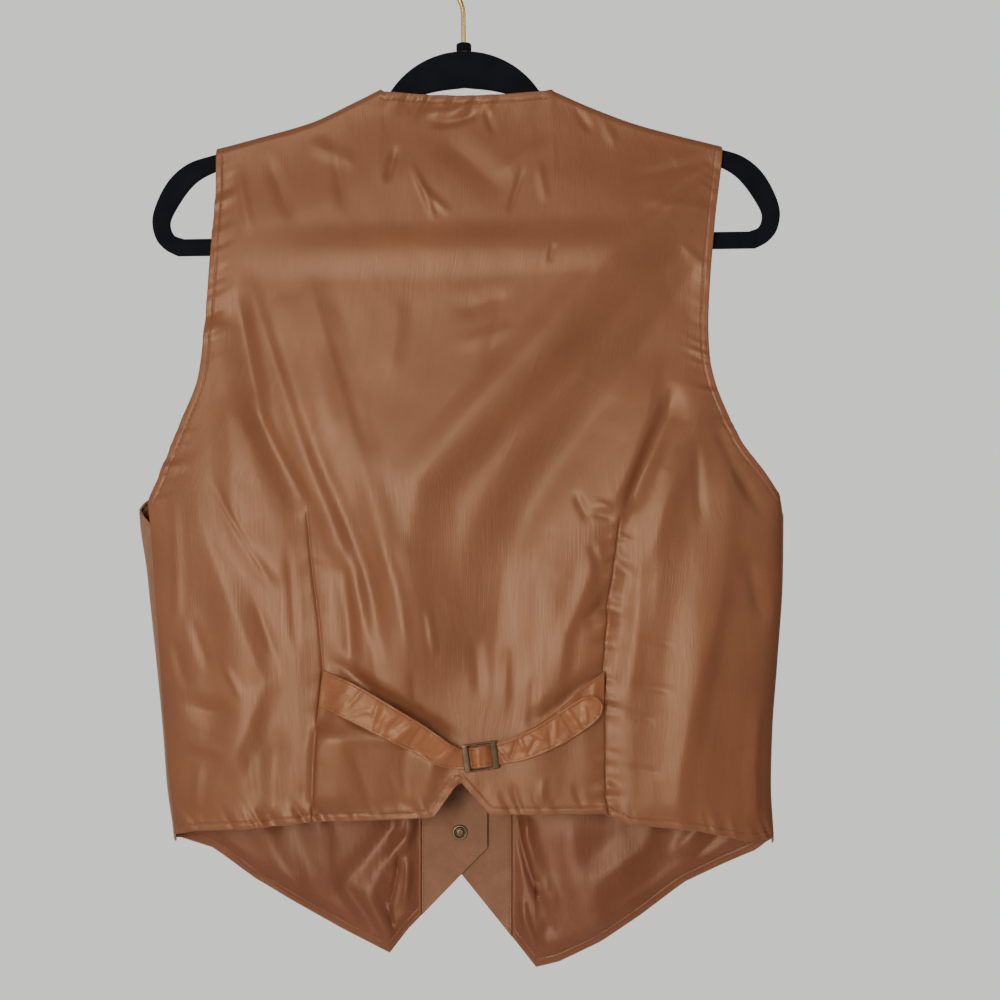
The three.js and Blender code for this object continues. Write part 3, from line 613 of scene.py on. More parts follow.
backPanel = {
    "outward": -1, "from": backEdge(backLeft), "to": backEdge(backRight), "top": topLine,
    "low": lambda x: lineAt(backHem, "x", x, "z"),
}
leftPanel = {
    "outward": 1,
    "from": frontEdge(frontLeft, lambda z: backPanel["from"](z) - 2 * math.pi, 1),
    "to": lambda z: angleAt(z, frontNeck(z, fit["neckLeft"], fit["leftEdge"]), False),
    "top": lambda x: topLine(np.minimum(x, fit["neckLeft"])),
    "low": lambda x: lineAt(leftHem, "x", x, "z"),
}
rightPanel = {
    "outward": -1, "laps": True,
    "from": frontEdge(frontRight, backPanel["to"], -1),
    "to": lambda z: angleAt(z, frontNeck(z, fit["neckRight"], fit["rightEdge"]), False),
    "top": lambda x: topLine(np.maximum(x, fit["neckRight"])),
    "low": lambda x: lineAt(rightHem, "x", x, "z"),
}
arcSteps = 120
chunk = 6000


def placeAcross(panel, z, share, shift):
    # Points of the section at z, a share of the panel's width plus a shift along the cloth
    if len(z) > chunk:
        parts = [placeAcross(panel, z[i:i + chunk], share[i:i + chunk], shift[i:i + chunk])
                 for i in range(0, len(z), chunk)]
        return np.concatenate([p[0] for p in parts]), np.concatenate([p[1] for p in parts])
    start, stop = panel["from"](z), panel["to"](z)
    section = sectionAt(z)
    angles = start[:, None] + (stop - start)[:, None] * np.linspace(0, 1, arcSteps + 1)
    x, y = ringPoint(tuple(part[:, None] for part in section), angles)
    reach = np.zeros_like(x)
    reach[:, 1:] = np.cumsum(np.hypot(np.diff(x, axis=1), np.diff(y, axis=1)), axis=1)
    wanted = np.clip(share * reach[:, -1] + shift, 0, reach[:, -1])
    i = np.clip((reach < wanted[:, None]).sum(axis=1), 1, arcSteps)
    row = np.arange(len(z))
    part = (wanted - reach[row, i - 1]) / (reach[row, i] - reach[row, i - 1])
    return ringPoint(section, start + (stop - start) * (i - 1 + part) / arcSteps)


def drape(panel, x, y, z):
    onBack = y < 0
    down = np.maximum(panel["top"](x) - z, 0)
    roll = np.where(onBack, fit["backRoll"], fit["frontRoll"])
    gap = fit["seamGap"] / 2
    inNeck = np.minimum(x - fit["neckLeft"], fit["neckRight"] - x) / fit["neckTurn"]
    edge = np.where(onBack, gap + (roll - gap) * ease(inNeck), gap)
    turn = np.sqrt(1 - (1 - np.minimum(down / roll, 1)) ** 2)
    rolled = edge + (roll - edge) * turn
    eased = ease((down - roll) / fit["easeDepth"])
    depth = rolled + (np.abs(y) - rolled) * eased
    folds = np.where(onBack, foldRise(backFolds, x, z), foldRise(frontFolds, x, z))
    depth = depth + folds * eased * ease(np.abs(y) / fit["foldDepth"])
    if "laps" in panel:
        lap = 1 - ease((x - fit["lapFrom"]) / (fit["lapTo"] - fit["lapFrom"]))
        depth = depth + fit["lapStandOff"] * lap * eased
    return np.where(onBack, -depth, depth)


# Where the search for a panel's ends starts, and how often it is made better
endSearch = {"top": -140.0, "low": -650.0, "rounds": 6}


def clothGrid(panel, columns, rows, warp=None):
    # Each column and row is a share of the cloth's width or height plus a distance in millimetres
    share, shift = (np.array(part, float) for part in zip(*columns))
    rowShare, rowShift = (np.array(part, float)[:, None] for part in zip(*rows))
    ends = {}
    for name in ("top", "low"):
        z = np.full(len(share), endSearch[name])
        for _ in range(endSearch["rounds"]):
            moved = shift + (warp(z, share) if warp else 0)
            z = panel[name](placeAcross(panel, z, share, moved)[0])
        ends[name] = z
    height = ends["top"] - ends["low"]
    z = ends["top"] - (rowShare * height + rowShift)
    allShare = np.broadcast_to(share, z.shape).ravel()
    allShift = np.broadcast_to(shift, z.shape).ravel()
    if warp:
        allShift = allShift + warp(z.ravel(), allShare)
    x, y = placeAcross(panel, z.ravel(), allShare, allShift)
    y = drape(panel, x, y, z.ravel())
    return np.stack([x.reshape(z.shape), y.reshape(z.shape), z], axis=-1)


def gridNormals(points, outward):
    across = np.gradient(points, axis=1)
    down = np.gradient(points, axis=0)
    normal = np.cross(across, down) * outward
    return normal / np.maximum(np.linalg.norm(normal, axis=-1, keepdims=True), 1e-9)


def edgeReach(points):
    # Distance of each grid point from the nearest of the grid's four sides, along the cloth
    def run(axis):
        step = np.linalg.norm(np.diff(points, axis=axis), axis=-1)
        zero = np.zeros_like(np.take(step, [0], axis=axis))
        reach = np.concatenate([zero, np.cumsum(step, axis=axis)], axis=axis)
        return np.minimum(reach, np.take(reach, [-1], axis=axis) - reach), reach
    across, u = run(1)
    down, v = run(0)
    return np.minimum(across, down), np.stack([u, v], axis=-1) * mm


def toLine(points, line, step=0.5):
    # Distance of each point from a line of points, and the place along it, both in millimetres
    reach = np.concatenate([[0], np.cumsum(np.linalg.norm(np.diff(line, axis=0), axis=1))])
    marks = np.arange(0, reach[-1], step)
    fine = np.stack([np.interp(marks, reach, line[:, k]) for k in range(3)], axis=1)
    tree = KDTree(len(fine))
    for i, point in enumerate(fine):
        tree.insert(point, i)
    tree.balance()
    found = [tree.find(point)[1:] for point in points.reshape(-1, 3)]
    index = np.array([f[0] for f in found])
    away = np.array([f[1] for f in found])
    shape = points.shape[:-1]
    return away.reshape(shape), (index * step).reshape(shape)


def besideLine(x, z, table):
    # Signed distance of each point to the right of a line that runs down, and the place along it
    best = np.full(x.shape, 1e9)
    signed = np.zeros_like(x)
    along = np.zeros_like(x)
    before = 0.0
    for i in range(len(table["x"]) - 1):
        x1, z1, x2, z2 = table["x"][i], table["z"][i], table["x"][i + 1], table["z"][i + 1]
        length = math.hypot(x2 - x1, z2 - z1)
        t = np.clip(((x - x1) * (x2 - x1) + (z - z1) * (z2 - z1)) / length ** 2, 0, 1)
        away = np.hypot(x - x1 - t * (x2 - x1), z - z1 - t * (z2 - z1))
        side = np.sign((z - z1) * (x2 - x1) - (x - x1) * (z2 - z1))
        nearer = away < best
        best = np.where(nearer, away, best)
        signed = np.where(nearer, away * side, signed)
        along = np.where(nearer, before + t * length, along)
        before += length
    return signed, along


# Creases run from one point to another or along a path, each with its own width to its two sides.
# A path that runs down has its left side at the viewer's left.
creaseColumns = ("x1", "z1", "x2", "z2", "bow", "left", "right", "rise")
pathColumns = ("path", "left", "right", "rise", "fadeIn", "fadeOut")
creaseForm = {"blunt": 0.004, "soft": 0.45, "keen": 1.7, "fade": 0.35}


def creaseProfile(off, left, right):
    # Soft at its foot and keener at its top
    near = 1 - np.clip(np.sqrt((off / np.where(off < 0, left, right)) ** 2 + creaseForm["blunt"]), 0, 1)
    return creaseForm["soft"] * ease(near) + (1 - creaseForm["soft"]) * near ** creaseForm["keen"]


def creaseRise(creases, x, z):
    rise = np.zeros_like(x)
    fade = creaseForm["fade"]
    for row in creases:
        crease = dict(zip(creaseColumns, row))
        along, off = besideRun(x, z, crease)
        off = off - crease["bow"] * 4 * along * (1 - along)
        across = creaseProfile(off, crease["left"], crease["right"])
        rise += crease["rise"] * across * ease(along / fade) * ease((1 - along) / fade)
    return rise


def pathRise(creases, x, z):
    rise = np.zeros_like(x)
    for row in creases:
        crease = dict(zip(pathColumns, row))
        path = crease["path"]
        off, along = besideLine(x, z, {"x": [p[0] for p in path], "z": [p[1] for p in path]})
        length = sum(math.dist(a, b) for a, b in zip(path, path[1:]))
        across = creaseProfile(off, crease["left"], crease["right"]) * ease(along / crease["fadeIn"])
        rise += crease["rise"] * across * ease((length - along) / crease["fadeOut"])
    return rise


# Sewn edges: how wide their band's edge and the dip at the stitches are, and how the puckers lean,
# mix two steps and come in patches
sewnForm = {"bandEdge": 0.9, "dipWide": 0.6, "lean": 0.5, "main": 0.6, "fine": 0.4, "patch": 31, "even": 0.45}


def sewnEdge(sewing, away, along, seed):
    # A turned edge: a raised band, a dip at its stitches and small puckers across it
    band = sewing["rise"] * ease((sewing["wide"] - away) / sewnForm["bandEdge"])
    off = away - sewing["stitch"]
    dip = sewing["dip"] * np.exp(-(off / sewnForm["dipWide"]) ** 2)
    leaning = along + sewnForm["lean"] * away
    main = wander(leaning, sewing["step"], seed) * sewnForm["main"]
    puckers = main + wander(leaning, sewing["step"] / 2, seed + 1) * sewnForm["fine"]
    patches = wander(along, sewnForm["patch"], seed + 2)
    puckers = puckers * (sewnForm["even"] + (1 - sewnForm["even"]) * patches)
    return band - dip + sewing["pucker"] * puckers * np.exp(-(off / sewing["reach"]) ** 2)


def everyOther(count, steps):
    # Indices of a coarser grid line, with both of its ends
    kept = list(range(0, count, steps))
    return np.array(kept if kept[-1] == count - 1 else kept + [count - 1])


def gridOf(rows, columns):
    return np.arange(rows * columns).reshape(rows, columns)


def gridFaces(at):
    # Four corners for each field of a grid of indices
    return np.stack([at[:-1, :-1], at[1:, :-1], at[1:, 1:], at[:-1, 1:]], axis=-1).reshape(-1, 4)


def newPiece(name, points, faces, material):
    mesh = bpy.data.meshes.new(name)
    mesh.from_pydata(points, [], faces)
    mesh.polygons.foreach_set("use_smooth", np.ones(len(faces), bool))
    mesh.materials.append(material)
    piece = bpy.data.objects.new(name, mesh)
    bpy.context.scene.collection.objects.link(piece)
    return piece


def clothPiece(name, outer, inner, uv, material, coarser=1):
    # Closed shell between an outer grid of points and an inner one, of which fewer may be kept
    rows, columns = outer.shape[:2]
    at = gridOf(rows, columns)
    keptRows, keptColumns = everyOther(rows, coarser), everyOther(columns, coarser)
    kept = np.ix_(keptRows, keptColumns)
    under = rows * columns + gridOf(len(keptRows), len(keptColumns))
    points = np.concatenate([outer.reshape(-1, 3), inner[kept].reshape(-1, 3)])
    places = np.concatenate([uv.reshape(-1, 2), uv[kept].reshape(-1, 2)])
    faces = gridFaces(at).tolist() + gridFaces(under)[:, ::-1].tolist()
    sides = (
        (at[0], under[0], keptColumns, 1), (at[-1], under[-1], keptColumns, -1),
        (at[:, 0], under[:, 0], keptRows, -1), (at[:, -1], under[:, -1], keptRows, 1),
    )
    for line, below, marks, turned in sides:
        for i, (first, last) in enumerate(zip(marks, marks[1:])):
            rim = line[first:last + 1].tolist() + [int(below[i + 1]), int(below[i])]
            faces.append(rim[::turned])
    first, second, third, fourth = (points[[face[k] for face in faces]] for k in range(4))
    volume = np.sum(first * np.cross(second, third)) + np.sum(first * np.cross(third, fourth))
    if volume < 0:
        faces = [face[::-1] for face in faces]
    piece = newPiece(name, (points * mm).tolist(), faces, material)
    layer = piece.data.uv_layers.new(name="cloth")
    layer.data.foreach_set("uv", places[np.concatenate(faces)].ravel())
    piece.data.update()
    return piece


edgeRound = 0.85  # how far a wall's edges are rounded, as a share of half its thickness


def wallOf(name, points, normals, under, wall, material, coarser=1):
    # Wall of cloth a depth under the panel's face, with its edges rounded like a fold
    away, uv = edgeReach(points)
    half = np.asarray(wall) / 2
    rounded = half * edgeRound * (1 - np.sqrt(1 - (1 - np.minimum(away / half, 1)) ** 2))
    outer = points - normals * (under + rounded)[..., None]
    inner = points - normals * (under + wall - rounded)[..., None]
    return clothPiece(name, outer, inner, uv, material, coarser), outer, inner


def finishPiece(piece, slot, *nodes):
    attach(piece, "root")
    if nodes:
        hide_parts(*nodes)


def faceTree(grid):
    # Search tree over one grid of points
    return BVHTree.FromPolygons(grid.reshape(-1, 3).tolist(), gridFaces(gridOf(*grid.shape[:2])).tolist())


# Rows and columns that crowd at an edge, where the cloth is turned and sewn
edgeWide = 10.0
edgeMarks = (0, 0.15, 0.45, 1.0, 1.8, 2.8, 3.8, 4.6, 5.3, 6.0, 6.8, 8.2, edgeWide)


def between(first, last, count):
    # Marks strictly between two marks, each mark a share and a distance
    steps = np.linspace(0, 1, count + 1)[1:-1]
    return [(first[0] + (last[0] - first[0]) * t, first[1] + (last[1] - first[1]) * t) for t in steps]


def edgeColumns(share, sign):
    return [(share, sign * mark) for mark in edgeMarks][::sign]


def edgedRows(count):
    return edgeColumns(0.0, 1) + between((0.0, edgeWide), (1.0, -edgeWide), count) + edgeColumns(1.0, -1)


def halved(low, high, below):
    # The narrow stretch between low and high at whose lower end below holds and at its upper end doesn't
    for _ in range(30):
        middle = (low + high) / 2
        low, high = (middle, high) if below(middle) else (low, middle)
    return low, high


def placeOf(panel, z, share, shift=0.0):
    # The x of one point of a panel
    return placeAcross(panel, np.array([z]), np.array([share]), np.array([shift]))[0][0]


# Back: one satin panel with two darts, a sewn hem with a notch, a sewn neck and sewn armholes
back = {
    "across": 450, "step": 1.95, "rows": 222, "underarm": -405, "notchLevel": -612.0,
    "sewing": {"wide": 6.4, "stitch": 5.2, "rise": 0.5, "dip": 0.9, "step": 7.2, "pucker": 3.0, "reach": 8.5},
    "ripples": ((0.45, 0, 34, 3), (0.1, 0.4, 13, 4)),
    "sideCalm": 16, "sideSewn": 5, "sewnReach": 30, "sewnFade": 10, "edgeCalm": 14, "edgeShare": 0.35,
    "flat": (0.47, 0.53), "area": 0.212,
}
leftDart = {
    "z": [-414, -457.4, -490.5, -523.6, -549.8, -586.6, -640],
    "x": [-109, -104.4, -99.9, -97.2, -99.9, -102.7, -104.4],
}
rightDart = {
    "z": [-418.6, -442.6, -470.3, -494.3, -523.6, -549.8, -610.4, -640],
    "x": [108.6, 105.9, 102, 99.3, 97.1, 98.6, 98.6, 104.1],
}
dartMarks = (-4.5, -3, -1.9, -1.1, -0.5, 0, 0.5, 1.1, 1.9, 3, 4.5)

backPaths = [
    # The broad dark fold across the back: its upper edge, then its lower one
    ([(190, -168), (160, -186), (105, -231), (60, -284), (9, -340), (-32, -392), (-40, -440), (-31, -480),
      (-24, -560)], 70, 34, 6.4, 60, 65),
    ([(176, -226), (149, -263), (96, -340), (61, -387), (44, -415), (27, -468), (20, -540)],
     36, 46, -5.2, 50, 40),
    # The bar under the cloth
    ([(-150, -250), (-110, -256), (0, -262), (66, -262)], 44, 96, 0.8, 80, 60),
    # Streaks from the left armhole down to the belt
    ([(-157, -230), (-139, -289), (-119, -348), (-108, -379), (-84, -440), (-62, -510), (-52, -570)],
     12, 10, 1.9, 70, 60),
    ([(-116, -226), (-93, -304), (-76, -362), (-58, -424), (-45, -480), (-40, -530)], 20, 18, 2.3, 60, 50),
    ([(-106, -360), (-88, -405), (-69, -452), (-54, -500)], 9, 9, -1.5, 40, 40),
    ([(-84, -434), (-79, -484), (-76, -536)], 22, 9, -4.6, 25, 30),
    ([(-60, -420), (-44, -470), (-38, -520)], 5, 6, 1.0, 30, 30),
    # The pocket under the left armhole and the fold from it to the dart
    ([(-161, -256), (-150, -310), (-137, -366)], 25, 11, -5.2, 28, 40),
    ([(-152, -330), (-130, -374), (-106, -418)], 14, 9, -2.9, 30, 25),
    ([(-164, -322), (-160, -380), (-159, -426), (-141, -447), (-114, -470)], 17, 28, 2.1, 30, 30),
    # The left panel
    ([(-190, -384), (-182, -420), (-168, -460), (-150, -502), (-137, -534), (-150, -566), (-170, -600),
      (-178, -632)], 26, 16, 2.8, 45, 30),
    ([(-202, -400), (-199, -450), (-200, -500)], 6, 7, 0.8, 25, 25),
    ([(-200, -545), (-178, -553), (-152, -557)], 13, 13, -2.4, 22, 22),
    ([(-196, -574), (-160, -580)], 10, 9, 1.5, 14, 14),
    ([(-204, -500), (-196, -528), (-188, -540)], 7, 8, -1.0, 14, 14),
    ([(-126, -560), (-132, -600), (-130, -636)], 12, 14, -1.6, 25, 20),
    # Under the left half of the belt the back falls away to the notch
    ([(-97, -556), (-101, -628)], 10, 64, 8.4, 16, 20),
    ([(-97, -552), (-60, -570), (-8, -592)], 60, 12, 4.5, 14, 14),
    ([(-38, -564), (-45, -640)], 50, 20, -5.0, 16, 10),
    ([(-99, -512), (-60, -540), (2, -578)], 13, 11, -4.4, 25, 25),
    ([(98, -522), (70, -544), (40, -566)], 11, 10, -2.8, 20, 20),
    # The right dart and the pocket beside it
    ([(136, -300), (129, -345), (113, -396), (101, -440)], 42, 9, 2.8, 40, 30),
    ([(148, -322), (142, -348), (128, -378), (110, -417)], 10, 15, -4.8, 22, 16),
    ([(172, -320), (158, -372), (140, -410), (124, -470)], 12, 22, 2.0, 40, 50),
    ([(96, -428), (86, -462), (71, -500), (64, -545)], 12, 9, 1.9, 30, 35),
    ([(102, -470), (94, -482), (82, -494)], 8, 9, -2.9, 9, 9),
    # The right panel
    ([(180, -350), (186, -400), (178, -470), (160, -540), (150, -592), (146, -634)], 30, 15, 3.0, 60, 20),
    ([(172, -345), (190, -385), (214, -424)], 8, 8, -1.9, 25, 20),
    ([(196, -436), (203, -466), (212, -498)], 11, 11, -2.4, 22, 24),
    ([(206, -540), (202, -590), (203, -636)], 10, 8, 1.6, 35, 15),
]
backCreases = [
    (-181, -385, -126, -476, 0, 3, 8, -1.6),
    (-168, -400, -140, -452, 0, 4, 6, 1.2),
    (-166, -518, -151, -547, 0, 4, 5, 1.2),
    (-190, -486, -176, -528, 0, 6, 7, -1.0),
    (-182, -584, -186, -628, 0, 7, 6, 1.3),
    (-150, -572, -142, -622, 0, 8, 6, -1.2),
    (-122, -430, -114, -520, 0, 7, 6, -1.3),
    (-146, -470, -128, -520, 0, 6, 6, -1.0),
    (-44, -260, -52, -330, 0, 14, 12, 1.0),
    (30, -260, 14, -320, 0, 12, 12, -1.2),
    (-26, -141, 15, -131, -3, 4, 4.5, -2.3),
    (-32, -133, 8, -126, -3, 4, 4, 1.3),
    (14, -128, 22, -150, 0, 4, 4, -1.3),
    (-47, -156, -55, -184, 0, 4.5, 5, -2.2),
    (-38, -168, -19, -214, 1, 4, 4, 1.5),
    (-33, -181, -8, -206, -2, 4, 5, 1.3),
    (43, -170, 31, -207, 0, 4, 4, -1.6),
    (52, -166, 58, -200, 0, 5, 5, 1.0),
    (-20, -146, 34, -196, 0, 18, 18, -1.8),
    (20, -180, 60, -150, 0, 10, 10, 1.0),
    (75, -124, 91, -148, 0, 5, 5, -1.5),
    (96, -130, 108, -160, 0, 6, 6, 1.1),
    (112, -183, 178, -165, 0, 6, 7, -1.5),
    (127, -210, 175, -172, 0, 5, 6, -1.7),
    (120, -196, 182, -205, 0, 8, 8, 1.2),
    (150, -225, 178, -250, 0, 6, 6, 1.3),
    (-114, -152, -72, -172, 0, 10, 10, 1.3),
    (-140, -160, -118, -215, 0, 9, 8, -1.4),
    (-160, -168, -150, -222, 0, 6, 7, 1.2),
    (-176, -190, -172, -250, 0, 5, 5, 1.2),
    (-92, -150, -84, -205, 0, 8, 8, -1.1),
    (64, -226, 59, -241, 0, 3, 4, -1.3),
    (-12, -276, 40, -262, 0, 14, 12, -1.1),
    (-10, -300, 44, -284, 0, 12, 10, 0.7),
    (77, -399, 88, -424, 0, 5, 5, -1.6),
    (86, -414, 106, -420, 0, 4, 4, -1.6),
    (90, -408, 104, -412, 0, 3, 4, 1.2),
    (88, -434, 95, -458, 0, 5, 5, -1.6),
    (122, -420, 112, -560, 3, 12, 10, 1.2),
    (160, -354, 165, -430, 0, 6, 7, -1.5),
    (-25, -478, -19, -516, 0, 4, 4, 1.4),
    (-36, -520, -31, -560, 0, 5, 5, -1.2),
    (8, -496, 12, -548, 0, 8, 8, -1.3),
    (30, -500, 28, -560, 0, 8, 7, 1.3),
    (50, -520, 46, -566, 0, 6, 6, -1.2),
    (-80, -566, -60, -622, 0, 8, 8, -1.2),
    (-48, -590, -36, -622, 0, 5, 5, 1.1),
    (34, -600, 40, -622, 0, 4, 4, -1.2),
    (56, -596, 52, -622, 0, 4, 4, 1.3),
    (76, -600, 84, -622, 0, 4, 4, -1.3),
    (120, -500, 150, -508, 0, 4, 5, -0.9),
    (112, -532, 150, -540, 0, 5, 6, -1.0),
    (108, -552, 136, -560, 0, 4, 5, -0.9),
    (110, -590, 140, -596, 0, 5, 5, -0.9),
]


def dartShare(x, z):
    # Share of the back's width at which the level z has the wanted x
    low, high = halved(0.0, 1.0, lambda share: placeOf(backPanel, z, share) < x)
    return (low + high) / 2


# Levels at which the cloth's columns are slid to the darts, how that fades in and how far it reaches
dartSlide = {"levels": np.arange(-660.0, -100.0, 8.0), "head": -305, "fade": 95, "reach": 85}
# A dart's groove, the dip round it, the step between its two sides and its puckers
dartForm = {
    "start": 6, "fade": 16, "groove": -0.95, "grooveWide": 0.75, "dip": -0.5, "dipWide": 3,
    "step": -0.45, "stepWide": 1.2, "stepReach": 9, "lean": 0.35, "main": (6.2, 0.6), "fine": (3.4, 0.4),
    "leftReach": 7.0, "rightReach": 9.0,
}
darts = ((leftDart, 51, 0.665), (rightDart, 61, 1.995))  # with their seeds and how deep they pucker


def makeDartWarp(slid):
    # Slides the cloth's columns sideways so that one of them follows each dart
    levels = dartSlide["levels"]
    offsets = []
    for share, table in slid:
        here = placeAcross(backPanel, levels, np.full(len(levels), share), np.zeros(len(levels)))[0]
        fade = ease((dartSlide["head"] - levels) / dartSlide["fade"])
        offsets.append((share, (lineAt(table, "z", levels, "x") - here) * fade))

    def warp(z, share):
        moved = np.zeros_like(z)
        for center, offset in offsets:
            near = ease(1 - np.abs(share - center) * back["across"] / dartSlide["reach"])
            moved += np.interp(z, levels, offset) * near
        return moved
    return warp


def backColumns(leftShare, rightShare):
    notch = [dartShare(fit[key], back["notchLevel"]) for key in ("notchFrom", "notchTop", "notchTo")]
    held = [(0.0, edgeWide), (leftShare, dartMarks[0]), (leftShare, dartMarks[-1])]
    held += [(share, 0.0) for share in notch]
    held += [(rightShare, dartMarks[0]), (rightShare, dartMarks[-1]), (1.0, -edgeWide)]
    columns = edgeColumns(0.0, 1)
    for first, last in zip(held, held[1:]):
        wide = (last[0] - first[0]) * back["across"] + last[1] - first[1]
        if first[0] == last[0]:
            columns += [(first[0], m) for m in dartMarks[1:-1]]
        else:
            columns += between(first, last, max(round(wide / back["step"]), 1))
        columns.append(last)
    return columns + edgeColumns(1.0, -1)[1:]


def dartRise(x, z, table, seed, deep):
    form = dartForm
    off, along = besideLine(x, z, table)
    begun = ease((table["z"][0] + form["start"] - z) / form["fade"])
    groove = form["groove"] * np.exp(-(off / form["grooveWide"]) ** 2)
    groove += form["dip"] * np.exp(-(off / form["dipWide"]) ** 2)
    step = form["step"] * np.tanh(off / form["stepWide"]) * np.exp(-(off / form["stepReach"]) ** 2)
    (mainStep, main), (fineStep, fine) = form["main"], form["fine"]
    puckers = wander(along - form["lean"] * np.abs(off), mainStep, seed) * main
    puckers += wander(along, fineStep, seed + 1) * fine
    reach = np.where(off < 0, form["leftReach"], form["rightReach"])
    return begun * (groove + step + deep * puckers * np.exp(-(off / reach) ** 2))


def backRelief(points):
    x, z = points[..., 0], points[..., 2]
    relief = creaseRise(backCreases, x, z) + pathRise(backPaths, x, z)
    relief += ripples(x, z, back["ripples"])
    hem, top, left, right = points[-1], points[0], points[:, 0], points[:, -1]
    edges = (
        (hem, 11),
        (top[(top[:, 0] > fit["neckLeft"]) & (top[:, 0] < fit["neckRight"])], 21),
        (left[left[:, 2] > back["underarm"]], 31),
        (right[right[:, 2] > back["underarm"]], 41),
    )
    seams = (side[side[:, 2] < back["underarm"]] for side in (left, right))
    fromSides = np.minimum(*(toLine(points, seam, 2.0)[0] for seam in seams))
    calm = ease(fromSides / back["sideCalm"])
    sewn = np.zeros_like(x)
    for line, seed in edges:
        away, along = toLine(points, line)
        near = ease((back["sewnReach"] - away) / back["sewnFade"])
        sewn += sewnEdge(back["sewing"], away, along, seed) * near
        calm = calm * (back["edgeShare"] + (1 - back["edgeShare"]) * ease(away / back["edgeCalm"]))
    sewn *= ease(fromSides / back["sideSewn"])
    for table, seed, deep in darts:
        sewn += dartRise(x, z, table, seed, deep)
    return relief * calm + sewn


def addBack():
    leftShare = dartShare(leftDart["x"][3], leftDart["z"][3])
    rightShare = dartShare(rightDart["x"][4], rightDart["z"][4])
    warp = makeDartWarp([(leftShare, leftDart), (rightShare, rightDart)])
    points = clothGrid(backPanel, backColumns(leftShare, rightShare), edgedRows(back["rows"]), warp)
    normals = gridNormals(points, backPanel["outward"])
    points = points + normals * (backRelief(points) * seamCalm(points))[..., None]
    normals = gridNormals(points, backPanel["outward"])
    piece, outer, _ = wallOf("back_panel", points, normals, 0.0, thick["satin"], backSatin, 2)
    finishPiece(piece, "back_satin", "back")
    print("back made:", len(piece.data.polygons), "faces")
    return outer


def seamCalm(points):
    # Quiets the relief at the shoulder seams, where the panels meet over the hanger's arms
    fromTop = np.linalg.norm(points - points[:1], axis=-1)
    x = points[..., 0]
    inNeck = (x > fit["neckLeft"]) & (x < fit["neckRight"])
    return np.where(inNeck, 1.0, ease((fromTop - fit["calmFrom"]) / fit["calmReach"]))


backOuter = addBack()
backBed = faceTree(backOuter)


# Fronts: suede outside, with a satin lining and suede facings inside
front = {
    "rows": 205, "columns": (42, 26, 15), "pointBeside": 2.4, "calmFrom": 1, "calmReach": 18,
    "ripple": ((0.3, 0, 38, 0),), "seamRows": 160,
    "sewing": {"wide": 6.0, "stitch": 5.0, "rise": 0.0, "dip": 0.6, "step": 6.5, "pucker": 0.8, "reach": 5.0},
    "joining": {"wide": 0.0, "stitch": 1.5, "rise": 0.0, "dip": 0.3, "step": 6.5, "pucker": 0.6,
                "reach": 5.5},
    "stitchIn": 5.5, "liningFlat": (0.22, 0.60), "liningArea": 0.088, "facingFlat": (0.06, 0.66),
    "left": {
        "panel": leftPanel, "facing": fit["leftFacing"], "point": fit["leftPoint"], "pointAt": -722.0,
        "flat": (0.27, 0.63), "area": 0.118, "facingArea": 0.027, "seed": 70,
    },
    "right": {
        "panel": rightPanel, "facing": fit["rightFacing"], "point": fit["rightPoint"], "pointAt": -732.0,
        "flat": (0.27, 0.64), "area": 0.120, "facingArea": 0.029, "seed": 80,
    },
}
# Linings hang a little loose between their edges, more than the slack that their seams take up
lining = {
    "loose": 3.2, "slack": 1.2, "looseFrom": 1.5, "looseReach": 14, "sewnReach": 20, "sewnFade": 8,
    "gap": 0.35, "head": (8, 8.4, 9.0), "rows": 200, "columns": (36, 24), "hemUp": 1.2,
    "edge": (0.0, 0.4, 1.0, 2.0), "ripples": ((0.9, 0, 26, 1), (0.35, 0.5, 11, 6)),
}
facingCloth = {
    "head": (8, 8.3, 9.0), "rows": 205, "foot": (6.0, 4.0, 2.0, 1.2, 0.6, 0.2, 0.0),
    "edge": (0.0, 0.2, 0.6, 1.2, 2.0, 3.0), "columns": 17,
}
frontCreases = [
    (-176, -330, -128, -372, 0, 9, 9, 1.2),
    (-196, -412, -150, -446, 0, 9, 9, -1.2),
    (-140, -250, -126, -350, 0, 11, 10, -1.3),
    (-100, -430, -92, -560, 0, 12, 11, 1.2),
    (-176, -470, -168, -600, 0, 12, 12, -1.2),
    (-112, -560, -104, -680, 0, 12, 12, -1.0),
    (-38, -420, -44, -560, 0, 10, 10, 0.9),
    (176, -332, 130, -376, 0, 9, 9, 1.2),
    (198, -414, 150, -448, 0, 9, 9, -1.2),
    (142, -250, 128, -350, 0, 11, 10, -1.2),
    (104, -430, 98, -560, 0, 12, 11, 1.2),
    (180, -476, 172, -604, 0, 12, 12, -1.2),
    (118, -566, 108, -690, 0, 12, 12, -1.0),
    (40, -430, 44, -570, 0, 10, 10, 0.9),
]
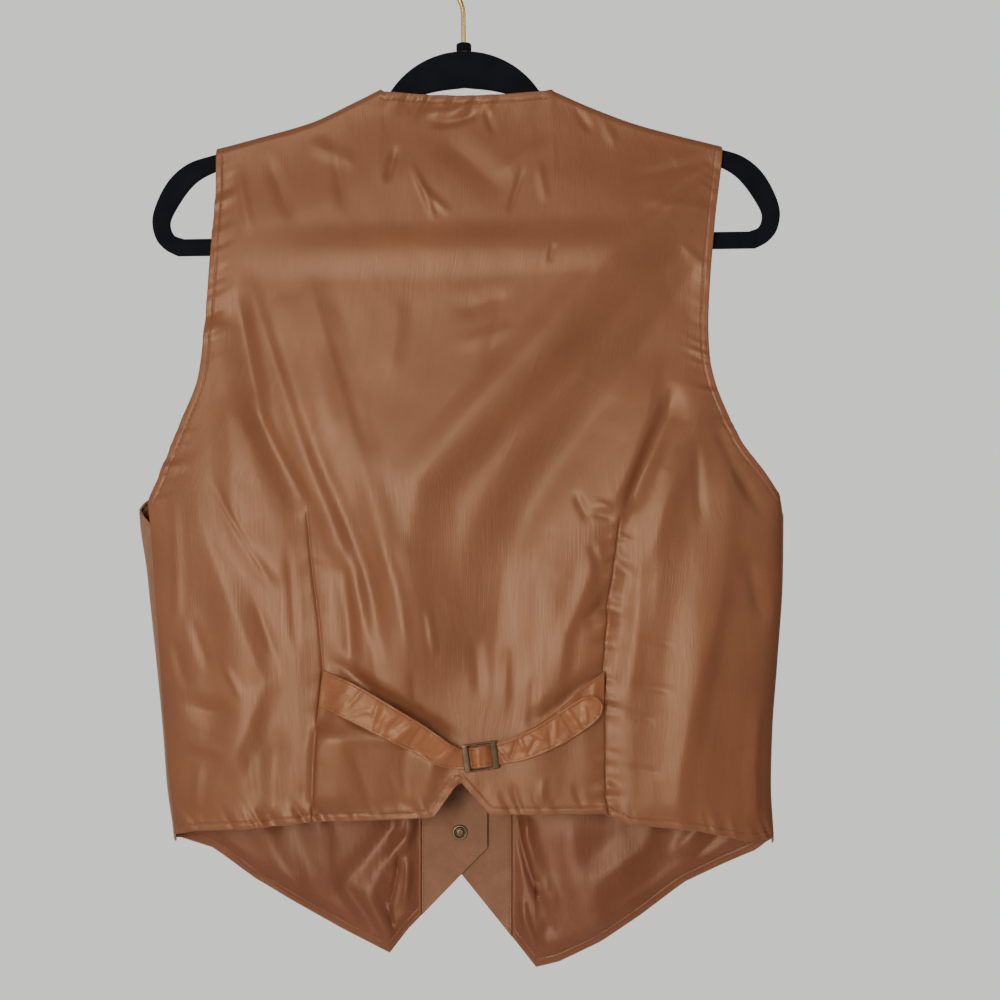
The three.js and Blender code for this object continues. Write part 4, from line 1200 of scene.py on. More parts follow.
liningPaths = [
    ([(-49, -622), (-52, -641), (-76, -670), (-85, -682), (-71, -704), (-57, -722)], 10, 8, -4.6, 16, 14),
    ([(-33, -626), (-38, -644), (-60, -671), (-68, -690), (-60, -707), (-51, -720)], 7, 7, 4.4, 14, 12),
    ([(-47, -656), (-48, -672), (-54, -698), (-51, -716)], 4, 4, -2.6, 10, 10),
    ([(-40, -660), (-41, -680), (-45, -700)], 4, 5, 2.2, 10, 12),
    ([(-150, -622), (-144, -642), (-124, -677), (-112, -700)], 14, 20, 3.6, 16, 22),
    ([(-112, -610), (-100, -650), (-98, -690)], 16, 14, 2.6, 30, 24),
    ([(-60, -520), (-66, -580), (-52, -636)], 14, 12, 2.0, 40, 20),
    ([(-120, -480), (-126, -550), (-118, -620)], 16, 14, 1.8, 50, 30),
    ([(36, -626), (38, -642), (46, -671), (57, -699), (64, -722)], 5, 5, -4.4, 14, 14),
    ([(45, -630), (46, -648), (56, -680), (66, -704)], 6, 8, 4.2, 14, 16),
    ([(40, -690), (46, -712), (54, -730)], 5, 5, 2.4, 10, 10),
    ([(76, -626), (78, -660), (84, -700)], 14, 12, 2.4, 24, 24),
    ([(138, -624), (130, -653), (96, -679), (88, -699), (98, -722)], 20, 22, 4.2, 18, 14),
    ([(176, -626), (168, -640), (150, -662)], 8, 9, 3.2, 10, 14),
    ([(190, -634), (176, -652), (160, -664)], 6, 6, -2.4, 10, 10),
    ([(68, -520), (72, -580), (60, -640)], 14, 12, 2.0, 40, 25),
    ([(124, -480), (130, -550), (122, -620)], 16, 14, 1.8, 50, 30),
]


def pointColumn(side, beside):
    # The column of a front that ends in its point, as a share of what lies beside the facing
    rising = side["panel"]["outward"] > 0

    def before(share):
        return (placeOf(side["panel"], side["pointAt"], share, -share * beside) < side["point"]) == rising
    low, _ = halved(0.0, 1.0, before)
    return (low, -low * beside)


def frontSurface(side, columns, rows):
    # The outer face of a front with its relief, on any columns and rows
    panel = side["panel"]
    points = clothGrid(panel, columns, rows)
    normals = gridNormals(points, panel["outward"])
    x, z = points[..., 0], points[..., 2]
    relief = creaseRise(frontCreases, x, z) + ripples(x, z, front["ripple"], side["seed"])
    fromSeam = toLine(points, side["seam"], 2.0)[0]
    calm = seamCalm(points) * ease((fromSeam - front["calmFrom"]) / front["calmReach"])
    points = points + normals * (relief * calm)[..., None]
    return points, gridNormals(points, panel["outward"])


def sideSeam(panel):
    rows = between((0.0, 0.0), (1.0, 0.0), front["seamRows"])
    outline = clothGrid(panel, [(0.0, 0.0), (0.5, 0.0), (1.0, 0.0)], rows)
    return outline[:, 0][outline[:, 0, 2] < back["underarm"]]


def liningLoose(side, bed):
    # How far a lining hangs off its front: folds inwards, and sewn down at the hem and at the facing
    x, z = bed[..., 0], bed[..., 2]
    away = edgeReach(bed)[0]
    loose = pathRise(liningPaths, x, z) + lining["loose"] + ripples(x, z, lining["ripples"], side["seed"])
    loose = np.maximum(loose, 0) * ease((away - lining["looseFrom"]) / lining["looseReach"]) + lining["slack"]
    for sewing, line, added in (("sewing", bed[-1], 2), ("joining", bed[:, -1], 4)):
        off, along = toLine(bed, line)
        near = ease((lining["sewnReach"] - off) / lining["sewnFade"])
        loose += sewnEdge(front[sewing], off, along, side["seed"] + added) * near
    return np.maximum(loose - lining["slack"], 0)


def addLining(name, side, kink):
    faced = side["facing"] + lining["gap"]
    start = [(0.0, fit["turnedSide"] + m) for m in lining["edge"]]
    ends = [(1.0, -faced - m) for m in lining["edge"][::-1]]
    outside, inside = lining["columns"]
    columns = start + between(start[-1], kink, outside) + [kink] + between(kink, ends[0], inside) + ends
    rows = [(0.0, m) for m in lining["head"]]
    rows += between(rows[-1], (1.0, -edgeWide - lining["hemUp"]), lining["rows"])
    rows += [(1.0, -mark - lining["hemUp"]) for mark in edgeMarks[::-1]]
    bed, normals = frontSurface(side, columns, rows)
    under = thick["suede"] + fit["seamGap"] + liningLoose(side, bed)
    points = bed - normals * under[..., None]
    normals = gridNormals(points, side["panel"]["outward"])
    cloth, _, inner = wallOf(f"front_{name}_lining_satin", points, normals, 0.0, thick["lining"], liningSatin)
    finishPiece(cloth, "lining_satin", f"front_{name}_lining")
    return inner


def addFacing(name, side):
    # Along the closing edge and the neck
    edge, foot = facingCloth["edge"], facingCloth["foot"]
    columns = [(1.0, m - side["facing"]) for m in edge]
    columns += between(columns[-1], (1.0, -edge[-1]), facingCloth["columns"])
    columns += [(1.0, -m) for m in edge[::-1]]
    rows = [(0.0, m) for m in facingCloth["head"]]
    rows += between(rows[-1], (1.0, -foot[0]), facingCloth["rows"]) + [(1.0, -m) for m in foot]
    bed, normals = frontSurface(side, columns, rows)
    under = thick["suede"] + fit["seamGap"]
    facing, _, inner = wallOf(f"front_{name}_facing_suede", bed, normals, under, thick["facing"], suedeNap)
    finishPiece(facing, "suede", f"front_{name}_facing")
    return inner


def addFront(name):
    side = front[name]
    side["seam"] = sideSeam(side["panel"])
    kink = pointColumn(side, side["facing"] + front["pointBeside"])
    meet = [(1.0, -side["facing"] - 1.0), (1.0, -side["facing"])]
    outside, inside, faced = front["columns"]
    columns = edgeColumns(0.0, 1) + between((0.0, edgeWide), kink, outside) + [kink]
    columns += between(kink, meet[0], inside) + meet
    columns += between(meet[1], (1.0, -edgeWide), faced) + edgeColumns(1.0, -1)
    points, normals = frontSurface(side, columns, edgedRows(front["rows"]))
    piece, outer, _ = wallOf(f"front_{name}_suede", points, normals, 0.0, thick["suede"], suedeNap, 2)
    finishPiece(piece, "suede", f"front_{name}")
    cloth = {"outer": outer, "lining": addLining(name, side, kink)}
    cloth["facing"] = addFacing(name, side)
    print("front", name, "made:", len(piece.data.polygons), "faces outside")
    return cloth


frontCloth = {name: addFront(name) for name in ("left", "right")}


# Cinch belt: two straps on the back, each with folded and stitched edges
strap = {
    "step": 1.1, "stitchIn": 1.9, "cutReach": 22,
    "across": (-1, -0.99, -0.965, -0.92, -0.86, -0.8, -0.72, -0.6, -0.45, -0.3, -0.15, 0,
               0.15, 0.3, 0.45, 0.6, 0.72, 0.8, 0.86, 0.92, 0.965, 0.99, 1),
    "long": {
        "x": [-98.5, -82, -67, -52, -37, -22, -10, -1, 4.5, 9.6, 14.4, 19.5, 25, 37, 52, 67, 80, 88,
              92.5, 95],
        "z": [-536.4, -542.5, -549.8, -557.6, -565.9, -574.6, -581.5, -584.2, -583.6, -582.8, -582.1, -581.4,
              -580.5, -577.6, -571.4, -563.2, -554.8, -549.2, -546.2, -544.6],
        "half": [12.4, 12.3, 11.8, 11.3, 10.6, 9.8, 8.6, 7.2, 7.1, 7.1, 7.1, 7.1, 7.3, 8.3, 9.2, 9.8, 10.0,
                 9.0, 6.4, 2.6],
        "lift": [0.4, 1.6, 3.0, 4.2, 4.5, 3.9, 3.0, 2.5, 2.6, 6.2, 6.2, 2.8, 2.9, 3.3, 3.6, 3.9, 4.1,
                 4.2, 4.2, 4.2],
        "tilt": [0, 0.2, 0.6, 1.2, 2.0, 2.6, 2.4, 1.0, 0, 0, 0, 0, 0, 0, 0, 0, 0, 0, 0, 0],
        "cut": (0.12, 0.99),
    },
    "short": {
        "x": [97.5, 88, 74, 58, 42, 26, 17, 10],
        "z": [-539.0, -545.4, -556.0, -566.6, -574.6, -579.8, -581.6, -582.7],
        "half": [12.2, 11.8, 11.0, 9.8, 8.6, 7.4, 7.1, 7.1],
        "lift": [0.4, 0.9, 1.2, 1.4, 1.3, 1.1, 1.0, 2.0],
        "tilt": [0, 0, 0, 0, 0, 0, 0, 0],
        "cut": (-0.02, -1.0),
    },
}
# Wrinkles of the straps: place along and across, length, slant in degrees, width and rise
wrinkleColumns = ("along", "across", "long", "slant", "wide", "rise")
longWrinkles = [
    (9, 2, 17, 60, 3.6, -0.9), (15, -1, 15, 62, 3.4, 0.8), (25, 3, 13, 74, 3.2, -0.7),
    (33, -3, 12, 40, 3.0, 0.6), (42, 3, 14, 100, 3.4, -0.9), (47, -2, 13, 96, 3.0, 0.7),
    (58, 2, 15, 70, 4.6, -1.5), (65, -2, 14, 66, 3.4, 0.9), (75, 0, 15, 84, 5.0, -1.7),
    (82, 2, 12, 84, 3.4, 1.0), (91, -1, 15, 70, 5.4, -2.0), (99, 2, 13, 76, 3.2, 0.8),
    (116, 0, 11, 96, 1.7, -0.8), (121, 0, 11, 84, 1.8, 0.7), (134, 2, 11, 126, 2.0, -0.9),
    (139, -3, 12, 118, 2.0, 0.8), (146, 1, 13, 52, 2.1, -0.9), (152, 4, 9, 96, 2.0, 0.7),
    (158, -2, 12, 40, 2.1, -0.7), (165, 3, 10, 132, 2.0, 0.8), (171, -3, 11, 70, 2.0, -0.8),
    (178, 2, 10, 58, 2.2, 0.6), (187, 0, 16, 92, 2.6, -1.2), (192, 0, 14, 92, 2.4, 0.8),
    (200, -2, 10, 60, 2.4, 0.6),
]
shortWrinkles = [
    (8, 0, 16, 82, 3.4, 0.6), (20, 2, 14, 60, 3.2, -0.6), (34, -2, 12, 74, 3.0, 0.6),
    (50, 0, 12, 96, 3.0, -0.6), (66, 0, 12, 84, 3.0, 0.5),
]


def wrinkleRise(wrinkles, along, across):
    rise = np.zeros_like(along)
    for row in wrinkles:
        wrinkle = dict(zip(wrinkleColumns, row))
        slant = math.radians(wrinkle["slant"])
        off = (along - wrinkle["along"]) * math.sin(slant) - (across - wrinkle["across"]) * math.cos(slant)
        run = (along - wrinkle["along"]) * math.cos(slant) + (across - wrinkle["across"]) * math.sin(slant)
        near = np.cos(np.clip(off / wrinkle["wide"], -1, 1) * math.pi / 2) ** 2
        rise += wrinkle["rise"] * near * ease(1.6 - np.abs(run) / (wrinkle["long"] / 2))
    return rise


# Form of the straps: the wrinkles' share, where the edges begin, how their band, stitches and puckers lie
strapForm = {
    "wrinkles": 1.05, "wrinkleEdge": 2.2, "ripple": 0.22, "rippleStep": 7, "rippleEdge": 3, "rippleSeed": 91,
    "band": 0.30, "bandWide": 3.0, "bandEdge": 1.2, "dip": 0.35, "dipWide": 0.5, "pucker": 0.5,
    "puckerStep": 4.4, "puckerAt": 1.8, "puckerReach": 2.4, "puckerSeed": 92, "otherEdge": 40, "sag": 0.3,
    "over": 0.3, "smooth": 13,
}


def strapRise(wrinkles, run, off, fromEdge):
    form = strapForm
    rise = form["wrinkles"] * wrinkleRise(wrinkles, run, off) * ease(fromEdge / form["wrinkleEdge"])
    fine = ripple(run, off * 2, form["rippleStep"], form["rippleSeed"])
    rise += form["ripple"] * fine * ease(fromEdge / form["rippleEdge"])
    dip = form["dip"] * np.exp(-((fromEdge - strap["stitchIn"]) / form["dipWide"]) ** 2)
    rise += form["band"] * ease((form["bandWide"] - fromEdge) / form["bandEdge"]) - dip
    puckers = wander(run + np.sign(off) * form["otherEdge"], form["puckerStep"], form["puckerSeed"])
    rise += form["pucker"] * puckers * np.exp(-((fromEdge - form["puckerAt"]) / form["puckerReach"]) ** 2)
    return rise


def strapDepth(gx, gz):
    # The nearest that the back comes under each row of a strap, smoothed along it
    def faceY(px, pz):
        hit = backBed.ray_cast(Vector((px, -120, pz)), Vector((0, 1, 0)))[0]
        return hit[1] if hit else -30.0

    felt = (0, 6, 11, 16, 22)
    level = np.array([[faceY(row[k], high[k]) for k in felt] for row, high in zip(gx, gz)]).min(axis=1)
    kernel = np.hanning(strapForm["smooth"])
    padded = np.pad(level, strapForm["smooth"] // 2, mode="edge")
    smooth = np.convolve(padded, kernel / kernel.sum(), mode="valid")
    return np.minimum(smooth, level + strapForm["over"])


def addStrap(name, table, wrinkles, node):
    # Lies off the back by the lift of its table, level across its width
    x, z = np.array(table["x"], float), np.array(table["z"], float)
    reach = np.concatenate([[0], np.cumsum(np.hypot(np.diff(x), np.diff(z)))])
    along = np.append(np.arange(0, reach[-1], strap["step"]), reach[-1])
    shape = ("x", "z", "half", "lift", "tilt")
    rail = {"s": reach.tolist(), **{key: table[key] for key in shape}}
    cx, cz, half, lift, tilt = (smoothAt(rail, "s", along, key) for key in shape)
    dx, dz = np.gradient(cx, along), np.gradient(cz, along)
    length = np.hypot(dx, dz)
    dx, dz = dx / length, dz / length
    share = np.array(strap["across"])
    toCut = ease((strap["cutReach"] - along) / strap["cutReach"])
    ax, az = -dz * (1 - toCut) + table["cut"][0] * toCut, dx * (1 - toCut) + table["cut"][1] * toCut
    wide = half / (dx * az - dz * ax)
    gx = cx[:, None] + (ax * wide)[:, None] * share
    gz = cz[:, None] + (az * wide)[:, None] * share
    off = share * half[:, None]
    run = np.broadcast_to(along[:, None], off.shape)
    rise = strapRise(wrinkles, run, off, half[:, None] - np.abs(off))
    rise = np.maximum(rise, -strapForm["sag"] * np.minimum(lift, 3)[:, None]) + tilt[:, None] * (1 + share)
    points = np.stack([gx, (strapDepth(gx, gz) - lift)[:, None] - rise, gz], axis=-1)
    normals = gridNormals(points, 1)
    normals *= -np.sign(normals[..., 1:2])
    piece, outer, _ = wallOf(name, points, normals, -thick["strap"], thick["strap"], beltSatinPaintedLighter)
    finishPiece(piece, "back_satin", node)
    return outer


longStrap = addStrap("belt_long_strap", strap["long"], longWrinkles, "belt_long")
shortStrap = addStrap("belt_short_strap", strap["short"], shortWrinkles, "belt_short")
print("straps made")


# Stitches: one small spindle of thread for each, joined to one mesh for a piece of cloth
stitch = {"long": 2.5, "gap": 1.3, "radius": 0.27, "sides": 5, "proud": 0.35, "sink": 0.12,
          "rings": ((-1, 0.35), (-0.6, 1), (0.6, 1), (1, 0.35))}


def insetLine(grid, side, inset, band=16):
    # The line on the cloth at a constant distance from one side of its grid
    turned = grid.swapaxes(0, 1)
    lines = {"top": grid, "low": grid[::-1], "from": turned, "to": turned[::-1]}[side][:band]
    away = toLine(lines, lines[0])[0]
    line = []
    for k in range(lines.shape[1]):
        beyond = np.nonzero(away[:, k] > inset)[0]
        if len(beyond):
            i = beyond[0]
            t = (inset - away[i - 1, k]) / (away[i, k] - away[i - 1, k])
            line.append(lines[i - 1, k] * (1 - t) + lines[i, k] * t)
    return np.array(line)


def sewAlong(line, bed):
    # Places of the stitches on a line of the cloth, with the way they run and the cloth's normal
    reach = np.concatenate([[0], np.cumsum(np.linalg.norm(np.diff(line, axis=0), axis=1))])
    pitch = stitch["long"] + stitch["gap"]
    marks = np.arange(pitch, reach[-1] - pitch, pitch)
    here = np.stack([np.interp(marks, reach, line[:, k]) for k in range(3)], axis=1)
    ahead = np.stack([np.interp(marks + 1, reach, line[:, k]) for k in range(3)], axis=1)
    places = []
    for at, after in zip(here, ahead):
        spot, up, _, _ = bed.find_nearest(Vector(at))
        places.append((spot, Vector(after - at).normalized(), up))
    return places


def spindle(place, run, up, points, faces):
    side = up.cross(run).normalized()
    lift = run.cross(side).normalized()
    first, radius, sides = len(points), stitch["radius"], stitch["sides"]
    for along, share in stitch["rings"]:
        center = place + run * (along * stitch["long"] / 2)
        center += up * (radius * stitch["proud"] - stitch["sink"] * abs(along))
        for k in range(sides):
            turn = 2 * math.pi * k / sides
            points.append((center + (side * math.cos(turn) + lift * math.sin(turn)) * radius * share) * mm)
    last = first + (len(stitch["rings"]) - 1) * sides
    for ring in range(first, last, sides):
        for k in range(sides):
            a, b = ring + k, ring + (k + 1) % sides
            faces.append((a, b, b + sides, a + sides))
    faces.append(tuple(first + k for k in reversed(range(sides))))
    faces.append(tuple(last + k for k in range(sides)))


def onlySelect(piece):
    bpy.ops.object.select_all(action="DESELECT")
    piece.select_set(True)
    bpy.context.view_layer.objects.active = piece


def turnFacesOut(piece, merge=0.0):
    # Joins points that lie closer than merge and turns the faces out
    onlySelect(piece)
    bpy.ops.object.mode_set(mode="EDIT")
    bpy.ops.mesh.select_all(action="SELECT")
    if merge:
        bpy.ops.mesh.remove_doubles(threshold=merge)
    bpy.ops.mesh.normals_make_consistent(inside=False)
    bpy.ops.object.mode_set(mode="OBJECT")


def addStitches(name, runs, slot, outwardTo):
    # outwardTo gives the side of the cloth that shows: -1 towards whoever looks at the back
    points, faces = [], []
    for line, bed in runs:
        for spot, run, up in sewAlong(line, bed):
            spindle(spot, run, -up if up.y * outwardTo < 0 else up, points, faces)
    piece = newPiece(name, points, faces, thread)
    turnFacesOut(piece)
    finishPiece(piece, slot)


def stitchBack():
    inset = back["sewing"]["stitch"]
    low, neck, left, right = (insetLine(backOuter, side, inset) for side in ("low", "top", "from", "to"))
    lines = [
        low,
        neck[(neck[:, 0] > fit["neckLeft"]) & (neck[:, 0] < fit["neckRight"])],
        left[left[:, 2] > back["underarm"]],
        right[right[:, 2] > back["underarm"]],
    ]
    addStitches("back_stitches", [(line, backBed) for line in lines], "back_satin", -1)


def stitchFront(name):
    outer, lined, faced = (frontCloth[name][key] for key in ("outer", "lining", "facing"))
    bed = faceTree(outer)
    arm = insetLine(outer, "from", front["stitchIn"])
    lines = [
        insetLine(outer, "low", front["stitchIn"]),
        arm[arm[:, 2] > back["underarm"]],
        insetLine(outer[4:], "to", front["stitchIn"]),
    ]
    addStitches(f"front_{name}_stitches", [(line, bed) for line in lines], "suede", 1)
    runs = [
        (insetLine(faced[6:], "from", front["joining"]["stitch"]), faceTree(faced)),
        (insetLine(lined, "low", front["sewing"]["stitch"]), faceTree(lined)),
    ]
    addStitches(f"front_{name}_inside_stitches", runs, "lining_satin", -1)


def stitchStrap(name, outer):
    bed = faceTree(outer)
    runs = [(insetLine(outer[3:-2], side, strap["stitchIn"]), bed) for side in ("from", "to")]
    addStitches(name, runs, "back_satin", -1)


stitchBack()
stitchFront("left")
stitchFront("right")
stitchStrap("belt_long_stitches", longStrap)
stitchStrap("belt_short_stitches", shortStrap)
print("stitches sewn")


# Hard pieces, modelled with Blender's own tools
mergeWithin = 0.00001


def settle(piece, material, angle=35):
    # Puts the place in the mesh, turns the faces out and shades it
    onlySelect(piece)
    bpy.ops.object.transform_apply(location=True, rotation=True, scale=True)
    turnFacesOut(piece, mergeWithin)
    bpy.ops.object.shade_smooth_by_angle(angle=math.radians(angle))
    piece.data.materials.clear()
    piece.data.materials.append(material)


def turnedPiece(name, rings, sides=40):
    # Lathe work: a circle extruded and resized ring by ring; a ring is a radius and a height
    radius, height = rings[0]
    bpy.ops.mesh.primitive_circle_add(vertices=sides, radius=radius * mm, location=(0, 0, height * mm),
                                      fill_type="NOTHING")
    piece = bpy.context.object
    piece.name = name
    bpy.ops.object.transform_apply(location=True, rotation=False, scale=False)
    bpy.ops.object.mode_set(mode="EDIT")
    bpy.ops.mesh.select_all(action="SELECT")
    for (fromRadius, fromHeight), (toRadius, toHeight) in zip(rings, rings[1:]):
        bpy.ops.mesh.extrude_region_move(
            TRANSFORM_OT_translate={"value": (0, 0, (toHeight - fromHeight) * mm)})
        scale = toRadius / fromRadius
        bpy.ops.transform.resize(value=(scale, scale, 1), center_override=(0, 0, toHeight * mm))
    bpy.ops.object.mode_set(mode="OBJECT")
    return piece


def closeEnds(piece):
    # Fills the open rings of a turned piece that has no hole through it
    onlySelect(piece)
    bpy.ops.object.mode_set(mode="EDIT")
    bpy.ops.mesh.select_all(action="DESELECT")
    bpy.ops.mesh.select_non_manifold()
    bpy.ops.mesh.fill()
    bpy.ops.object.mode_set(mode="OBJECT")


def seatOn(piece, spot, normal):
    # Moves a piece made at the origin, standing along +Z, onto a place with its own up
    turn = normal.to_track_quat("Z", "Y").to_matrix().to_4x4()
    piece.data.transform(Matrix.Translation(spot) @ turn)


snap = {
    "x": -3.1, "top": -402, "foot": -644.6, "count": 4, "seat": 0.1, "outside": 90, "inside": -10,
    "cap": [(0.4, 2.45), (1.6, 2.42), (3.0, 2.25), (4.1, 1.9), (4.9, 1.35), (5.35, 0.85), (5.5, 0.45),
            (5.5, 0.15), (5.3, 0.0), (0.4, 0.0)],
    "ring": [(1.5, 0.02), (1.5, 0.95), (1.75, 1.15), (2.15, 1.15), (2.45, 0.95), (2.7, 0.55), (3.0, 0.45),
             (3.5, 0.5), (3.9, 0.85), (4.4, 1.0), (4.95, 0.95), (5.35, 0.7), (5.5, 0.35), (5.4, 0.05),
             (1.5, 0.02)],
}


def addSnap(name, node, rings, bed, z, start, closed):
    # start lies off the cloth, along Y, on the side from which the snap is seen
    spot, normal, _, _ = bed.ray_cast(Vector((snap["x"], start, z)), Vector((0, -math.copysign(1, start), 0)))
    normal = normal if normal.y * start > 0 else -normal
    piece = turnedPiece(name, rings)
    if closed:
        closeEnds(piece)
    seatOn(piece, (spot + normal * snap["seat"]) * mm, normal)
    settle(piece, bronze)
    finishPiece(piece, "antique_brass", node)


def addSnaps():
    outside = faceTree(frontCloth["right"]["outer"])
    inside = faceTree(frontCloth["left"]["facing"])
    for i in range(snap["count"]):
        z = snap["top"] + (snap["foot"] - snap["top"]) * i / (snap["count"] - 1)
        cap, ring = f"snap_cap_{i + 1}", f"snap_ring_{i + 1}"
        addSnap(cap + "_dome", cap, snap["cap"], outside, z, snap["outside"], True)
        addSnap(ring + "_flange", ring, snap["ring"], inside, z, snap["inside"], False)


addSnaps()

buckle = {"wide": 24, "high": 19, "thick": 1.4, "bar": 4.4, "rail": 1.3, "middle": 3, "tilt": 8,
          "round": 0.62}


def addBuckle():
    # A sheet of five by three fields, the two slots cut out, made thick and rounded
    low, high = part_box("buckle")
    center = (low + high) / 2
    slotWide = (buckle["wide"] - 2 * buckle["bar"] - buckle["middle"]) / 2
    columns = np.cumsum([0, buckle["bar"], slotWide, buckle["middle"], slotWide, buckle["bar"]])
    columns -= buckle["wide"] / 2
    rows = np.cumsum([0, buckle["rail"], buckle["high"] - 2 * buckle["rail"], buckle["rail"]])
    rows -= buckle["high"] / 2
    bpy.ops.mesh.primitive_grid_add(x_subdivisions=5, y_subdivisions=3, size=1, location=(0, 0, 0))
    piece = bpy.context.object
    piece.name = "buckle_slider"
    for vertex in piece.data.vertices:
        column = round((vertex.co.x + 0.5) * 5)
        row = round((vertex.co.y + 0.5) * 3)
        vertex.co = Vector((columns[column], rows[row], 0)) * mm
    bpy.ops.object.mode_set(mode="EDIT")
    bpy.ops.mesh.select_all(action="DESELECT")
    bpy.ops.object.mode_set(mode="OBJECT")
    for face in piece.data.polygons:
        fromSlot = abs(abs(face.center.x) / mm - (buckle["middle"] + slotWide) / 2)
        face.select = bool(abs(face.center.y) / mm < 1 and fromSlot < 1)
    bpy.ops.object.mode_set(mode="EDIT")
    bpy.ops.mesh.delete(type="FACE")
    bpy.ops.object.mode_set(mode="OBJECT")
    wall = piece.modifiers.new("wall", "SOLIDIFY")
    wall.thickness = buckle["thick"] * mm
    wall.offset = 0
    corners = piece.modifiers.new("rounded", "BEVEL")
    corners.width = buckle["round"] * mm
    corners.segments = 4
    corners.limit_method = "ANGLE"
    bpy.ops.object.modifier_apply(modifier="wall")
    bpy.ops.object.modifier_apply(modifier="rounded")
    turn = Matrix.Rotation(math.radians(-buckle["tilt"]), 4, "Y") @ Matrix.Rotation(math.pi / 2, 4, "X")
    piece.data.transform(Matrix.Translation(center) @ turn)
    settle(piece, bronze, 50)
    finishPiece(piece, "antique_brass", "buckle")


addBuckle()
print("buckle and snaps made")


# Hanger: a flat plastic plate under flocking, with round edges, and its gold hook
hanger = {
    "thick": 5.5, "round": 1.9, "tilt": -0.78, "shift": -1.3,
    "domeTop": -88.6, "domeRadius": 63, "domeHalf": 52.4,
    "wire": 3.6, "loop": 19.5, "stemTop": -62, "stemFoot": -88.2, "bend": 17, "tip": -30,
    "tipShares": ((-1, 0.55), (-2, 0.92)),
    "collarTop": -83, "collarWide": 10.7,
}
armOutline = [
    (57, -120.4), (63, -122.8), (78, -127.6), (88, -132.1), (103, -138.4), (120, -144.4), (145, -151.6),
    (167, -157.4), (179, -160.1), (196, -165.6), (209, -176), (218.5, -192), (222.3, -206),
    (219.5, -219), (213, -226.5), (204.5, -231),
]
armOpening = [
    (0, -114.4), (22.7, -117.3), (56.7, -127.9), (77.2, -137.8), (107.7, -152), (143.1, -162.6),
    (175.7, -171.1), (191.3, -179.6), (204.5, -196.5), (209.5, -208), (207, -216), (200, -219),
]


def roundedThrough(marks, perSpan=7):
    # Centripetal curve through the marks
    marks = [np.array(mark, float) for mark in marks]
    ends = [2 * marks[0] - marks[1]] + marks + [2 * marks[-1] - marks[-2]]
    points = []
    for a, b, c, d in zip(ends, ends[1:], ends[2:], ends[3:]):
        t0 = 0.0
        t1 = t0 + np.linalg.norm(b - a) ** 0.5
        t2 = t1 + np.linalg.norm(c - b) ** 0.5
        t3 = t2 + np.linalg.norm(d - c) ** 0.5
        for t in np.linspace(t1, t2, perSpan, endpoint=False):
            ab = a + (b - a) * (t - t0) / (t1 - t0)
            bc = b + (c - b) * (t - t1) / (t2 - t1)
            cd = c + (d - c) * (t - t2) / (t3 - t2)
            abc = ab + (bc - ab) * (t - t0) / (t2 - t0)
            bcd = bc + (cd - bc) * (t - t1) / (t3 - t1)
            points.append(abc + (bcd - abc) * (t - t1) / (t2 - t1))
    return points + [marks[-1]]


def hangerPlace():
    turn = Matrix.Rotation(math.radians(hanger["tilt"]), 4, "Y")
    return Matrix.Translation((hanger["shift"] * mm, 0, 0)) @ turn


def newCurve(name, dimensions, loops, closed=False):
    data = bpy.data.curves.new(name, "CURVE")
    data.dimensions = dimensions
    for loop in loops:
        spline = data.splines.new("POLY")
        spline.points.add(len(loop) - 1)
        for point, place in zip(spline.points, loop):
            point.co = (*(value * mm for value in place), 1)
        spline.use_cyclic_u = closed
    return data


def curvePiece(data, place, material, angle, slot, node):
    # Turns the curve into a mesh of the same name, in its place
    curve = bpy.data.objects.new(data.name, data)
    bpy.context.scene.collection.objects.link(curve)
    curve.matrix_world = place
    onlySelect(curve)
    bpy.ops.object.convert(target="MESH")
    piece = bpy.context.object
    settle(piece, material, angle)
    finishPiece(piece, slot, node)


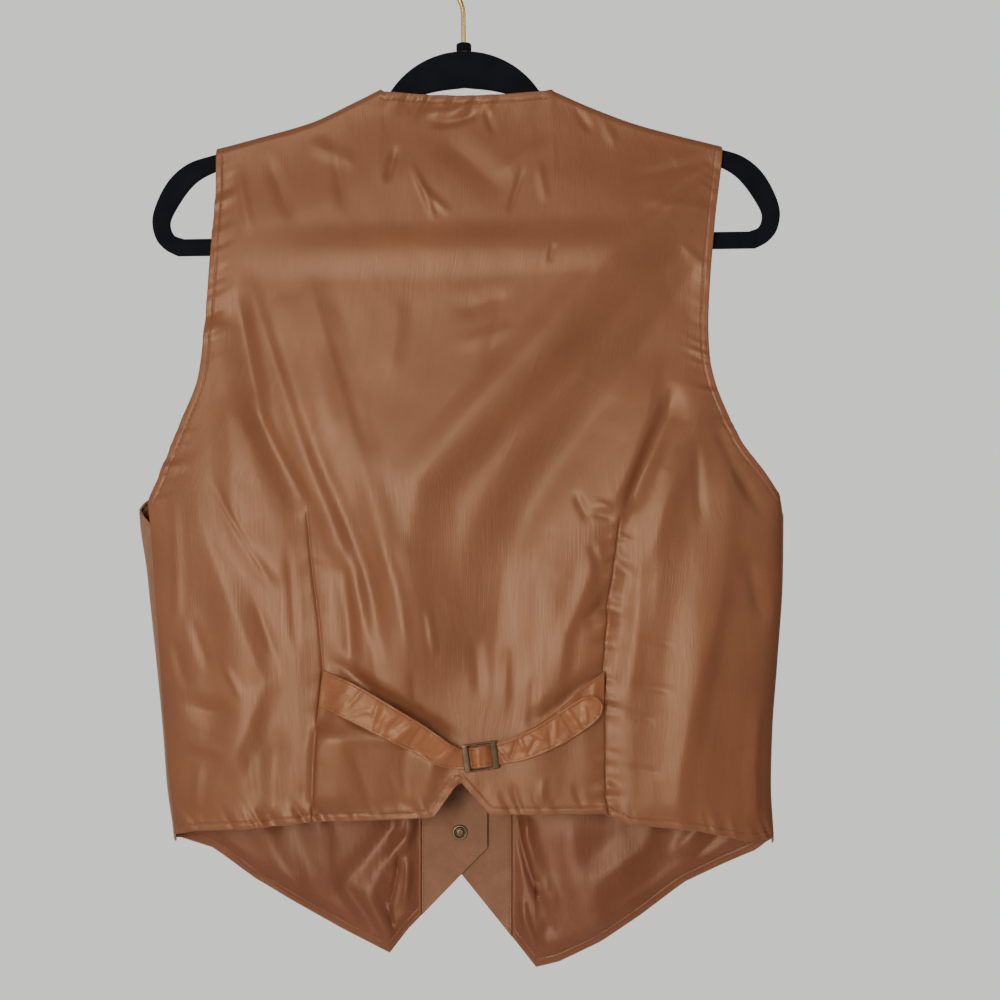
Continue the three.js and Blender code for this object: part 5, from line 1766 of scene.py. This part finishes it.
def addHanger():
    domeEnd = math.asin(hanger["domeHalf"] / hanger["domeRadius"])
    turns = np.linspace(-domeEnd, domeEnd, 41)
    dome = [(hanger["domeRadius"] * math.sin(t), hanger["domeTop"] - hanger["domeRadius"] * (1 - math.cos(t)))
            for t in turns]
    arm = roundedThrough(armOutline)
    opening = roundedThrough(armOpening)
    mirrored = [(-x, z) for x, z in reversed(arm)]
    outline = dome + [tuple(p) for p in arm] + mirrored
    hole = [tuple(p) for p in opening] + [(-x, z) for x, z in reversed(opening[1:])]
    data = newCurve("hanger_velvet", "2D", [[(x, z, 0) for x, z in loop] for loop in (outline, hole)], True)
    data.fill_mode = "BOTH"
    data.bevel_depth = hanger["round"] * mm
    data.bevel_resolution = 3
    data.offset = -hanger["round"] * mm
    data.extrude = (hanger["thick"] / 2 - hanger["round"]) * mm
    curvePiece(data, hangerPlace() @ Matrix.Rotation(math.pi / 2, 4, "X"), velvet, 50, "velvet", "hanger")


def addHook():
    loop = hanger["loop"] + hanger["wire"] / 2
    middle = -hanger["loop"]
    stem = [(0, z) for z in np.linspace(hanger["stemFoot"], hanger["stemTop"], 6)]
    bend = []
    for t in np.linspace(0, 1, 16)[1:-1]:
        a = (1 - t) ** 3 + 3 * (1 - t) ** 2 * t
        b = 3 * (1 - t) * t ** 2 + t ** 3
        z = (1 - t) ** 3 * hanger["stemTop"] + 3 * (1 - t) ** 2 * t * (hanger["stemTop"] + hanger["bend"])
        z += 3 * (1 - t) * t ** 2 * (middle - hanger["bend"]) + t ** 3 * middle
        bend.append((-loop * b, z))
    turns = np.linspace(math.pi, math.radians(hanger["tip"]), 46)
    arc = [(loop * math.cos(t), middle + loop * math.sin(t)) for t in turns]
    places = stem + bend + arc
    data = newCurve("hook_wire", "3D", [[(x, 0, z) for x, z in places]])
    for index, share in hanger["tipShares"]:
        data.splines[0].points[index].radius = share
    data.bevel_depth = hanger["wire"] / 2 * mm
    data.bevel_resolution = 4
    data.use_fill_caps = True
    curvePiece(data, hangerPlace(), gold, 60, "gold_wire", "hook")


def addCollar():
    rim = hanger["collarWide"] / 2
    bore = hanger["wire"] / 2 + 0.15
    foot = hanger["domeTop"] + 0.1
    top = hanger["collarTop"]
    rings = [(bore, foot), (rim - 0.3, foot), (rim, foot + 0.4), (rim, top - 1.2), (rim - 0.35, top - 0.4),
             (rim - 1.1, top), (bore + 0.5, top), (bore, top - 0.4), (bore, foot)]
    collar = turnedPiece("hook_collar_velvet", rings)
    collar.data.transform(hangerPlace())
    settle(collar, velvet, 60)
    finishPiece(collar, "velvet", "hook_collar")


addHanger()
addHook()
addCollar()
print("hanger made")
